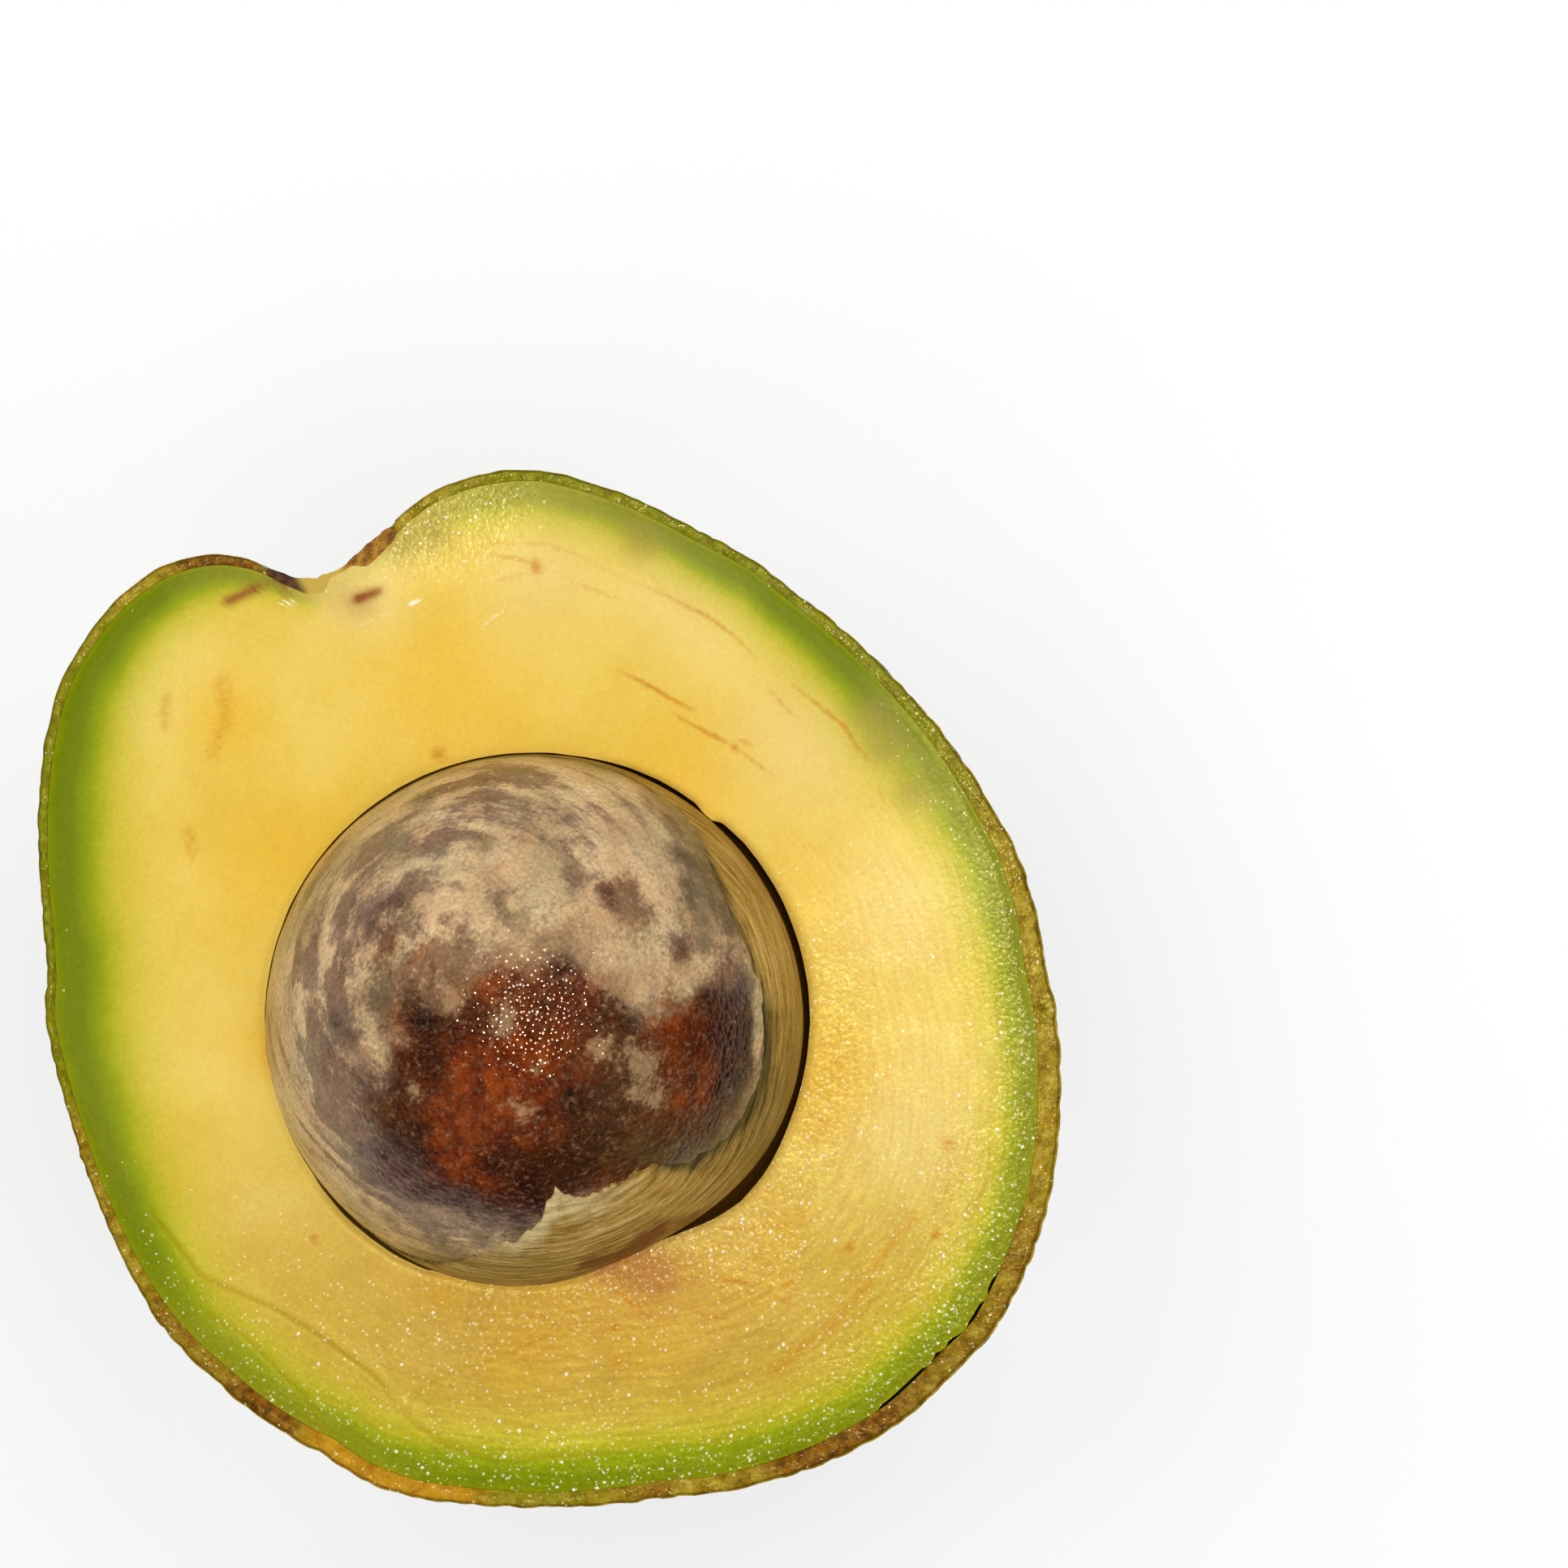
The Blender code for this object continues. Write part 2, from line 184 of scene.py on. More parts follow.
# Soft zones in the flesh: place and size
DEEP_YELLOW = (
    (-7, 26, 6), (11.3, 19.5, 4.5), (22, 9, 3.5), (-25, 24, 2.5), (-21.5, -2, 3), (23, -4, 4.5),
    (-20, 12, 5),
)
CREAM = (
    (11.9, 34.5, 3.6), (21.6, 22.9, 4.5), (29, 9, 4.5), (29.5, -9, 4), (-14, 34, 2.6), (0, 36, 3.4),
)
WARM = (
    (1.3, -23.5, 3.6), (7, -22, 2.6), (14.5, -19.5, 2.6), (18.5, -14.5, 2.4), (22.5, -8, 2.2),
    (24.5, -3.5, 2.4), (17, -20.5, 2), (9, -26, 2.4), (-8, -21.5, 1.8), (-20.5, -2.5, 2.2),
    (-2, -28, 2),
)
PINK = ((7, -19.4, 1.5), (9.3, -20.4, 1.6), (4.6, -19.3, 1))
SMUDGE = (
    (-11, 37.6, 1), (-8.4, 38.6, 1.2), (26.4, 24, 1.3), (27.6, 21.6, 1.3), (29.8, 18, 1.2),
    (8, 38, 1.2),
)

# Brown marks in the flesh under the stem, with their width and strength
STEM_MARKS = (
    (((-24.8, 33.1), (-22.7, 34.1)), 0.3, 0.95), (((-22.6, 34.2), (-20.6, 34.9)), 0.22, 0.45),
    (((-20.5, 34.5), (-20.2, 33.7)), 0.2, 0.7), (((-14.5, 33.3), (-12.9, 33.9)), 0.3, 0.85),
)

# Short wet lines painted with a highlight, each with its strength
SHINES = (
    (((-21.0, 32.7), (-19.2, 33.3)), 0.9), (((-10.8, 32.7), (-9.2, 33.3)), 0.9),
    (((-5.8, 30.1), (-1.8, 33.3)), 0.5), (((-19.2, 23.6), (-5.8, 30.1)), 0.22),
    (((-29.0, 27.0), (-22.0, 31.6)), 0.22), (((-16.0, 30.4), (-10.8, 32.7)), 0.3),
)

# Wettest places, which also get the most painted glints: place and size
WETTEST = (
    (-5.5, 40, 3), (-10, 38, 2), (1, -22, 1.4), (34, -19.5, 3), (21, -9.5, 1.6), (13.3, -16.1, 2.2),
    (17.5, -19, 1.8), (36, -12, 2.4), (26, -28, 2.2),
)

# Steps that the knife left: it rose or sank along each line, by this much and over this width
KNIFE_STEPS = (
    (
        (
            (-31.7, -14.3), (-29.2, -17.5), (-26.9, -20.5), (-21.2, -23.0), (-17.7, -25.1), (-13.1, -28.4),
            (-11.4, -30.5),
        ),
        0.2, 1.6,
    ),
    (((-11.0, -30.6), (-9.2, -29.2), (-7.4, -28.3), (-2.2, -26.5), (1.5, -24.8)), -0.16, 1.6),
    (((-11.0, -30.8), (-10.3, -32.0), (-7.4, -34.0), (-3.0, -35.3), (6.1, -34.3)), 0.13, 1.3),
    (((-27.4, -23.0), (-23.6, -25.1), (-18.8, -29.9), (-16.4, -33.7)), 0.1, 1.0),
)
SCRATCHES = (
    ((-19.0, 23.9), (-10.6, 29.3), (-4.2, 31.5), (-2.5, 32.7), (-0.1, 33.5), (4.5, 34.0), (8.6, 33.3)),
    ((-33.0, 20.0), (-25.0, 25.6)),
)

# Fine rows that the knife left on one side of the seed: spacing and height
ROW_SPACING = 1.05
ROW_HEIGHT = 0.008

# How far apart the fine stripes lie that run round the seed in the flesh
STRIPE_SPACING = 0.38

# Where the flesh has come away from the skin: from one angle as seen to the next
LOOSE_SKIN = ((311.0, 317.8), (319.2, 320.3), (321.1, 322.8), (324.4, 327.3), (328.6, 330.6))
LOOSE_GAP = 0.22

# Pebbles over a whole fruit, and how the skin in section is browner or greener: angle, spread and strength
PEBBLES = 3900
SECTION_PATCHES = {
    "rust": (
        (205, 7, 0.4), (222, 5, 0.55), (235, 4, 0.95), (283, 5, 0.45), (303, 6, 0.75), (317, 8, 0.52),
        (335, 6, 0.45), (115, 5, 0.9), (126, 3, 0.8),
    ),
    "gold": ((246, 5, 0.85), (256, 7, 0.8), (2, 9, 0.15), (-12, 7, 0.15), (340, 7, 0.2)),
    "olive": ((60, 14, 0.7), (85, 14, 0.8), (150, 14, 0.7), (178, 12, 0.8), (270, 9, 0.55), (35, 12, 0.55)),
}

# Colours of the coat, by angle as seen: dried to tan, dusky at its edge and all over, fresh at its edge
COAT_TAN = (
    (0, 1), (60, 1), (110, 0.6), (200, 0.4), (245, 0.3), (262, 0), (285, 0.15), (305, 0.6), (318, 1),
)
COAT_DUSKY_EDGE = (
    (0, 0.7), (60, 0.7), (110, 0.8), (200, 0.9), (240, 0.9), (262, 0), (310, 0), (320, 0.7),
)
COAT_DUSK = ((0, 0.36), (18, 0.06), (60, 0), (200, 0), (300, 0), (316, 0.25), (335, 0.5), (350, 0.46))
COAT_FRESH = ((0, 0), (250, 0), (264, 0.5), (272, 0.95), (284, 0.95), (296, 0.5), (316, 0))
COAT_TAPER = ((0, 0.95), (60, 0.95), (200, 0.9), (250, 0.6), (262, 0.1), (310, 0.1), (322, 0.8))

# Rusty spots on the coat: angle as seen, height and strength
COAT_RUST = ((287, 8.0, 1.0), (301, 8.6, 0.9), (276, 4.6, 0.6), (310, 5.5, 0.8), (294, 5.0, 0.7))

# How olive the seed is just over the coat's edge, by angle as seen
SEED_BY_COAT = (
    (0, 0.25), (20, 0.5), (40, 0.8), (70, 0.6), (100, 0.45), (200, 0.5), (240, 0.9), (256, 0.6),
    (262, 0), (308, 0), (318, 0.9), (340, 0.7), (352, 0.3),
)

# Where the seed's skin is bare, pale, dark or bright: place and size
SEED_BARE = (
    (-5.3, -5.4, 4.46), (0.1, -8, 4.32), (-7.3, -11.7, 3.31), (-1.6, -13.7, 3.31), (4.5, -9.4, 3.6),
    (9.6, -8.8, 2.74), (11.7, -1.6, 2.9), (14.6, -2.5, 2.2), (2.4, 1.4, 2.4), (-2.7, 1.6, 1.9),
    (-11.4, -6.8, 1.73), (-8.5, -1.6, 2.59), (12.8, -6, 2.3), (-10.8, -12, 2.02), (4.5, 1.2, 1.6),
    (7, -12, 1.73), (0, -2.5, 3.4), (5.4, -3, 2), (-8.8, -8.4, 2.8), (8.6, -4, 1.7), (14.2, -7.6, 1.8),
    (16, -3, 2), (15.6, 0.4, 1.6),
)
SEED_THIN = (
    (7.3, 8.7, 1.3), (6, 10, 0.8), (8.6, 7.6, 0.8), (11.2, 5.3, 0.75), (-12.4, 5.8, 1),
    (-9.1, 4.3, 1.3), (-13, 1.2, 1.4), (-12.2, 8.6, 0.8), (-10.6, 2.6, 1.1), (-6.4, 4.8, 1),
    (-4.2, 4.2, 1.5), (0.8, 4.6, 1.7), (3.2, 4.4, 1.1), (14.8, 3, 1.2), (13.4, 1.6, 1.2),
    (-4.7, -0.2, 0.9),
)
SEED_GLOW = (
    (-5.6, -5.1, 2.45), (-7.9, -8, 1.3), (-6.8, -10.9, 1.87), (-1, -3.1, 2.16), (1.6, -3.7, 1.44),
    (-2.7, -9.1, 1.87), (10.2, 0.4, 1.44), (12.8, -4.5, 1.73), (-4.2, 3.2, 1.3), (-0.7, -6.5, 1.73),
    (-9.4, 4.7, 0.72), (-5.6, -12.6, 1.15), (11.4, -6.8, 1.15),
)
SEED_DARK = (
    (-8.8, -3.7, 1.15), (-10.5, -8.8, 1.3), (15.8, -2.3, 1.9), (16.4, -4.6, 1.7), (16, 0.6, 1.5),
    (17.4, -1, 1.4), (-10.2, -11.1, 1.15), (2.4, -6.5, 1.15), (4.5, -10.3, 2.3), (-5.6, -14.9, 1.3),
    (-2.7, -11.4, 1.15), (-13.1, 1.2, 1.01), (11.9, -2.5, 0.75), (17.1, -2.5, 1.15), (7.3, -0.2, 1.3),
    (0.7, -12.3, 2.02), (4.5, -6.5, 1.01), (11.9, -4.8, 0.52), (-4.5, -16, 1.44), (1, -15.8, 1.44),
    (-9.4, -0.2, 1.15),
)
SEED_PLUM = (
    (-11.4, -13.2, 2.45), (-6.8, -15.5, 1.73), (-13.1, -10.9, 2.02), (16.2, 2.4, 1.2),
    (-14, -5.1, 1.44), (-16, -0.8, 1.73), (-2.7, -16.3, 1.44), (-9.4, -16, 1.44), (-13.4, 8.4, 1.73),
)
SEED_TAUPE = ((8.2, -9.7, 3.17), (11.7, -10.3, 2.02), (-12.8, -7.7, 1.73), (6.2, -2.8, 1.3))
SEED_PATCHES = (
    (-7.1, 2, 0.8), (-3, 0.1, 0.8), (-10.2, -5.7, 0.6), (-1.4, -7.8, 0.85), (-0.1, -4, 0.37),
    (7, 2.5, 1.44), (6.5, 4.4, 1.3), (12.1, 3.1, 1.09), (8.3, -3.4, 1.15), (9.2, -6, 0.8),
    (7.9, -5.8, 0.6), (5.3, -2.7, 0.5), (-13.1, -0.8, 0.75), (-1.9, 6.1, 2.02), (4.5, 6.1, 1.73),
    (-14, -2.5, 0.58),
)
SEED_BRUISES = (
    (-4.5, 18.9, 1.3), (-2.7, 19.1, 1.3), (-4.2, 17.9, 0.75), (-5.6, 16.5, 1.01), (0.7, 16.2, 0.86),
    (-12, 9.6, 1.04), (-11.4, 7.3, 0.92), (1.3, 15.6, 0.75), (-13.4, 13.3, 1.3), (-12.2, 12.8, 0.86),
    (-15.7, 8.4, 0.69), (-16.1, 6.7, 0.58), (-15.7, 1.2, 0.75), (-16, 4.4, 0.69), (-19.2, 3.8, 0.75),
    (9.4, 16.1, 0.75), (10.5, 15.1, 0.81), (11.9, 12.2, 0.86), (11.4, 9.9, 0.86), (15.4, 5.8, 1.15),
    (11.4, 5, 0.69), (3, 10.7, 0.69), (-7.3, 7.6, 0.58), (-9.1, 10.7, 0.69), (-3, 9, 0.69),
    (-1.6, 8.4, 0.63), (14.8, 10.7, 0.69), (1.9, 13.3, 0.69), (-8.5, 13.9, 0.63), (-15, -9.5, 1.5),
    (-13, -12.5, 1.5), (-16.8, -6.5, 1.1), (-17.6, -3.4, 1.2), (5.3, 9.9, 0.75), (-18, 3, 1.3),
    (-17.3, -1, 1.4), (-16.5, -5, 1.3), (-14.8, -7.6, 1.1), (-18.6, 6.4, 0.9),
)
SEED_OLIVE = (
    (12.5, 10.2, 1.3), (12.8, 7.9, 1.3), (11.4, 12.8, 1.15), (-9.4, 17.5, 1.44), (13.1, 6.1, 0.86),
    (-4.5, 13.9, 0.86), (-7.9, -18.2, 1.2), (-12, -16, 1), (-4.4, -17.8, 1.2), (-13.9, -14.7, 0.7),
    (-1.5, -17.4, 1.1),
)
SEED_DOTS = ((2.4, -6.1, 0.4), (2.2, -6.5, 0.29), (4.6, -6.4, 0.23), (-8.6, 5.2, 0.12))
SEED_PIT = (2.4, -6.2)

# The layers that those lists give, and how far their spots are drawn out round the swirl
SEED_SPOTS = {
    "bare": (SEED_BARE, 1.0), "thin": (SEED_THIN, 1.5), "patch": (SEED_PATCHES, 1.0),
    "dark": (SEED_DARK, 1.0), "glow": (SEED_GLOW, 1.0), "plum": (SEED_PLUM, 1.0),
    "taupe": (SEED_TAUPE, 1.0), "bruised": (SEED_BRUISES, 1.8),
}

# The film is streaked round one place, and calm near another
SWIRL_AT = (-8.7, 5.4)
CALM_AT = (2.0, 6.0)


def smooth(low, high, value):
    """0 below low, 1 above high, and a smooth rise between them."""
    share = np.clip((value - low) / (high - low), 0.0, 1.0)
    return share * share * (3.0 - 2.0 * share)


def bell(value, spread):
    """1 at 0, and dying away over a few spreads."""
    return np.exp(-0.5 * (value / spread) ** 2)


def fading(along, share):
    """1 along a line, and falling to 0 over that share of it at both ends."""
    return smooth(0.0, share, along) * smooth(0.0, share, 1.0 - along)


def rounded(share):
    """0 at both ends of a line and 1 in its middle."""
    return np.sin(math.pi * share)


def seen_angle(turn):
    """A turn round the fruit, as an angle in the camera's view."""
    return np.degrees(turn + SEEN_TURN) % 360.0


def by_angle(turn, points):
    """Reads a value off a list of (angle as seen, value) at each turn round the fruit."""
    angles, values = zip(*points)
    return np.interp(np.degrees(turn + SEEN_TURN), angles, values, period=360.0)


def turned(x, y, angle):
    """A place turned anticlockwise round the middle."""
    c, s = math.cos(angle), math.sin(angle)
    return x * c - y * s, x * s + y * c


def seen(x, y):
    """Places on the object, as (right, up) in the camera's view."""
    return turned(x, y, SEEN_TURN)


def unit(turn, dip):
    """Unit vectors at a turn round the upright and a dip below the cut face."""
    turn, dip = np.broadcast_arrays(turn, dip)
    return np.stack((np.cos(dip) * np.cos(turn), np.cos(dip) * np.sin(turn), -np.sin(dip)), axis=-1)


def angle_between(directions, axis):
    return np.arccos(np.clip(directions @ axis, -1.0, 1.0))


def fruit_radius(turn, dip):
    """Radius of the fruit without pebbles."""
    rim = MEAN_RADIUS + sum(a * np.cos(k * (turn - math.radians(to))) for k, a, to in OUTLINE_WAVES)
    low = np.sin(dip) ** 2
    across = (turn - STEM_ANGLE + math.pi) % math.tau - math.pi
    dimple = DIMPLE_DEPTH * bell(across * np.cos(dip), DIMPLE_ACROSS) * bell(dip, DIMPLE_DOWN)
    detail = by_angle(turn, OUTLINE_DETAIL) * bell(dip, DETAIL_FADE)
    return rim * (1.0 - low) + BACK_DEPTH * low - dimple + detail


def rind_thickness(turn, dip):
    """Thickness of what lies round the flesh: skin, or the cork in the stem scar, thin in its middle."""
    edge = by_angle(turn, SKIN_EDGE)
    skin = edge + (1.3 - edge) * smooth(0.0, 0.5, dip)
    reach = stem_polar(unit(turn, dip))[0]
    cork = 0.22 + 1.0 * smooth(0.8, 2.4, reach)
    return cork + (skin - cork) * smooth(SCAR_RADIUS - 0.7, SCAR_RADIUS + 0.5, reach)


def stem_polar(directions):
    """Distance from the stem over the skin, and the turn round the stem."""
    side = np.cross(STEM, (0.0, 0.0, 1.0))
    away = angle_between(directions, STEM) * MEAN_RADIUS
    return away, np.arctan2(directions[..., 2], directions @ side)


def seed_radius(directions):
    """Radius of the seed, nearly round, with a flattened heel on one side."""
    up = directions[..., 2] ** 2
    heel = HEEL_DEPTH * bell(angle_between(directions, HEEL), HEEL_SPREAD)
    return SEED_SIDE * (1.0 - up) + SEED_TOP * up - heel


def grain_at(points, size, seed=0.0):
    """Smooth noise from -1 to 1 at each point, with features of about that size."""
    flat = (points / size + seed).reshape(-1, 3)
    values = np.array([noise.noise(place) for place in flat.tolist()])
    return values.reshape(points.shape[:-1])


def layered(points, size, seed=0.0, layers=3):
    """Noise with finer noise on it."""
    return sum(grain_at(points, size / 2.0 ** i, seed + 7.0 * i) / 2.0 ** i for i in range(layers))


def lattice(count, nudge, seed):
    """Evenly spread unit vectors, each nudged out of its row."""
    index = np.arange(count) + 0.5
    height = 1.0 - 2.0 * index / count
    turn = math.pi * (3.0 - math.sqrt(5.0)) * index
    across = np.sqrt(1.0 - height * height)
    points = np.stack((across * np.cos(turn), across * np.sin(turn), height), axis=1)
    points += np.random.default_rng(seed).normal(0.0, nudge * math.sqrt(4.0 * math.pi / count), points.shape)
    return points / np.linalg.norm(points, axis=1, keepdims=True)


def nearest_two(points, centres):
    """For each point, how far its nearest two centres are, and which is the nearest."""
    tree = kdtree.KDTree(len(centres))
    for index, centre in enumerate(centres.tolist()):
        tree.insert(centre, index)
    tree.balance()
    found = [tree.find_n(point, 2) for point in points.reshape(-1, 3).tolist()]
    wanted = [(first[2], second[2], first[1]) for first, second in found]
    first, second, which = (np.array(column).reshape(points.shape[:-1]) for column in zip(*wanted))
    return first, second, which


def line_distance(right, up, line):
    """How far each place is from a line of points, on which side, and how far along, from 0 to 1."""
    best, side, along = np.full(right.shape, np.inf), np.zeros(right.shape), np.zeros(right.shape)
    count = len(line) - 1
    for index, ((ax, ay), (bx, by)) in enumerate(zip(line, line[1:])):
        dx, dy = bx - ax, by - ay
        share = np.clip(((right - ax) * dx + (up - ay) * dy) / (dx * dx + dy * dy), 0.0, 1.0)
        off_x, off_y = right - ax - share * dx, up - ay - share * dy
        distance = np.hypot(off_x, off_y)
        nearer = distance < best
        best = np.where(nearer, distance, best)
        side = np.where(nearer, np.sign(dx * off_y - dy * off_x), side)
        along = np.where(nearer, (index + share) / count, along)
    return best, side, along


def union(shares):
    """Joins soft masks, so that where two meet the sum stays under 1."""
    left = 1.0
    for share in shares:
        left = left * (1.0 - np.clip(share, 0.0, 1.0))
    return 1.0 - left


def zones(right, up, places):
    """Sum of soft round zones, each given by its place and size."""
    return sum(bell(np.hypot(right - x, up - y), size) for x, y, size in places)


def add_layers(mesh, layers):
    """Puts each layer's numbers, or vectors, on the mesh's points."""
    for name, values in layers.items():
        kind, key = ("FLOAT_VECTOR", "vector") if values.ndim == 2 else ("FLOAT", "value")
        mesh.attributes.new(name, kind, "POINT").data.foreach_set(key, values.astype(np.float32).ravel())


def loft(name, rows, layers, finishes, finish_of_row=None):
    """A closed mesh through rings of points, with a point at each end. Layers are values on its points."""
    count, around = rows.shape[:2]
    points = np.concatenate((rows.reshape(-1, 3), rows[0].mean(axis=0)[None], rows[-1].mean(axis=0)[None]))
    start, end = count * around, count * around + 1
    here = np.arange(around)
    after = (here + 1) % around
    quads = []
    for row in range(count - 1):
        low, high = row * around, (row + 1) * around
        quads.append(np.stack((low + here, low + after, high + after, high + here), axis=1))
    faces = np.concatenate(quads).tolist()
    last = (count - 1) * around
    faces += np.stack((np.full(around, start), after, here), axis=1).tolist()
    faces += np.stack((np.full(around, end), last + here, last + after), axis=1).tolist()
    mesh = bpy.data.meshes.new(name)
    mesh.from_pydata((points * MM).tolist(), [], faces)
    side_rows = np.repeat(np.arange(count - 1), around)
    face_rows = np.concatenate((side_rows, np.zeros(around), np.full(around, count - 2)))
    for finish in finishes:
        mesh.materials.append(finish)
    if finish_of_row is not None:
        mesh.polygons.foreach_set("material_index", finish_of_row(face_rows).astype(np.int32))
    for layer, values in layers.items():
        flat = values.reshape(count * around, *values.shape[2:])
        add_layers(mesh, {layer: np.concatenate((flat, values[[0, -1]].mean(axis=1)))})
    return finish_mesh(mesh)


def finish_mesh(mesh):
    """Turns the faces outwards, smooths them and puts the mesh in the scene."""
    bm = bmesh.new()
    bm.from_mesh(mesh)
    bmesh.ops.recalc_face_normals(bm, faces=bm.faces[:])
    if bm.calc_volume(signed=True) < 0.0:
        bmesh.ops.reverse_faces(bm, faces=bm.faces[:])
    bm.to_mesh(mesh)
    bm.free()
    mesh.shade_smooth()
    mesh.set_sharp_from_angle(angle=math.radians(60))
    piece = bpy.data.objects.new(mesh.name, mesh)
    bpy.context.scene.collection.objects.link(piece)
    return piece


def place_piece(piece, node):
    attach(piece, "root")
    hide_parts(node)


# Shader helpers

def colour(code):
    """A colour from its six-figure screen code."""
    parts = [int(code[i:i + 2], 16) / 255.0 for i in (0, 2, 4)]
    return (*(p / 12.92 if p <= 0.04045 else ((p + 0.055) / 1.055) ** 2.4 for p in parts), 1.0)


class Nodes:
    """A shader node tree, with short ways to add to it."""

    def __init__(self, tree):
        self.tree = tree

    def wire(self, node, wires):
        """Joins each named socket of the node to another socket, or sets it."""
        for socket, value in wires.items():
            if isinstance(value, bpy.types.NodeSocket):
                self.tree.links.new(value, node.inputs[socket])
            elif value is not None:
                node.inputs[socket].default_value = value

    def put(self, kind, wires, **settings):
        node = self.tree.nodes.new(kind)
        for key, value in settings.items():
            setattr(node, key, value)
        self.wire(node, wires)
        return node

    def maths(self, operation, first, second=None, clamp=False):
        wires = {0: first, 1: second}
        return self.put("ShaderNodeMath", wires, operation=operation, use_clamp=clamp).outputs[0]

    def plus(self, first, second, clamp=False):
        return self.maths("ADD", first, second, clamp)

    def minus(self, first, second):
        return self.maths("SUBTRACT", first, second)

    def times(self, first, second):
        return self.maths("MULTIPLY", first, second)

    def vectors(self, operation, wires):
        return self.put("ShaderNodeVectorMath", wires, operation=operation).outputs[0]

    def noise(self, where, scale, detail, roughness, output="Fac"):
        wires = {"Vector": where, "Scale": scale, "Detail": detail, "Roughness": roughness}
        return self.put("ShaderNodeTexNoise", wires).outputs[output]

    def cells(self, where, scale):
        """Cells scattered at random, with their distances and colours."""
        return self.put("ShaderNodeTexVoronoi", {"Vector": where, "Scale": scale, "Randomness": 1.0}).outputs


def new_group(name, numbers, output):
    """A node group that takes a place and numbers, and gives one number."""
    group = bpy.data.node_groups.new(name, "ShaderNodeTree")
    group.interface.new_socket("Vector", in_out="INPUT", socket_type="NodeSocketVector")
    for number in numbers:
        group.interface.new_socket(number, in_out="INPUT", socket_type="NodeSocketFloat")
    group.interface.new_socket(output, in_out="OUTPUT", socket_type="NodeSocketFloat")
    return Nodes(group), group.nodes.new("NodeGroupInput").outputs, group.nodes.new("NodeGroupOutput")


def make_ragged_group():
    """Turns a soft mask into one with a ragged, torn or mottled edge."""
    group, given, result = new_group("ragged edge", ("Mask", "Scale", "Raggedness", "Softness"), "Mask")
    rough = group.noise(given["Vector"], given["Scale"], 6.0, 0.65)
    moved = group.plus(given["Mask"], group.times(group.minus(rough, 0.5), given["Raggedness"]))
    low, high = group.minus(0.5, given["Softness"]), group.plus(0.5, given["Softness"])
    wires = {"Value": moved, "From Min": low, "From Max": high}
    sharp = group.put("ShaderNodeMapRange", wires, interpolation_type="SMOOTHSTEP")
    group.wire(result, {"Mask": sharp.outputs["Result"]})
    return group.tree


def make_wet_grain_group():
    """Height of a moist, grainy surface: fine grain with rounder beads over it."""
    group, given, result = new_group("wet grain", ("Fine Scale", "Bead Scale", "Beads"), "Height")
    fine = group.noise(given["Vector"], given["Fine Scale"], 3.0, 0.6)
    away = group.cells(given["Vector"], given["Bead Scale"])["Distance"]
    domes = group.times(group.minus(1.0, group.maths("POWER", away, 2.0)), given["Beads"])
    group.wire(result, {"Height": group.plus(fine, domes)})
    return group.tree


def make_speckle_group():
    """Small uneven specks of many sizes, scattered over a surface. Share is how many of them show."""
    group, given, result = new_group("specks", ("Scale", "Size", "Share"), "Mask")
    where, scale = given["Vector"], given["Scale"]
    bend = group.noise(where, group.times(scale, 3.0), 1.0, 0.5, "Color")
    centred = group.vectors("SUBTRACT", {0: bend, 1: (0.5, 0.5, 0.5)})
    shift = group.vectors("SCALE", {0: centred, "Scale": group.maths("DIVIDE", 0.45, scale)})
    cells = group.cells(group.vectors("ADD", {0: where, 1: shift}), scale)
    chance = group.put("ShaderNodeSeparateColor", {"Color": cells["Color"]}).outputs
    size = group.times(given["Size"], group.plus(chance["Green"], 0.45))
    near = group.maths("DIVIDE", group.minus(size, cells["Distance"]), group.times(size, 0.5), clamp=True)
    shown = group.maths("LESS_THAN", chance["Red"], given["Share"])
    group.wire(result, {"Mask": group.times(near, shown)})
    return group.tree


RAGGED = make_ragged_group()
WET_GRAIN = make_wet_grain_group()
SPECKS_GROUP = make_speckle_group()


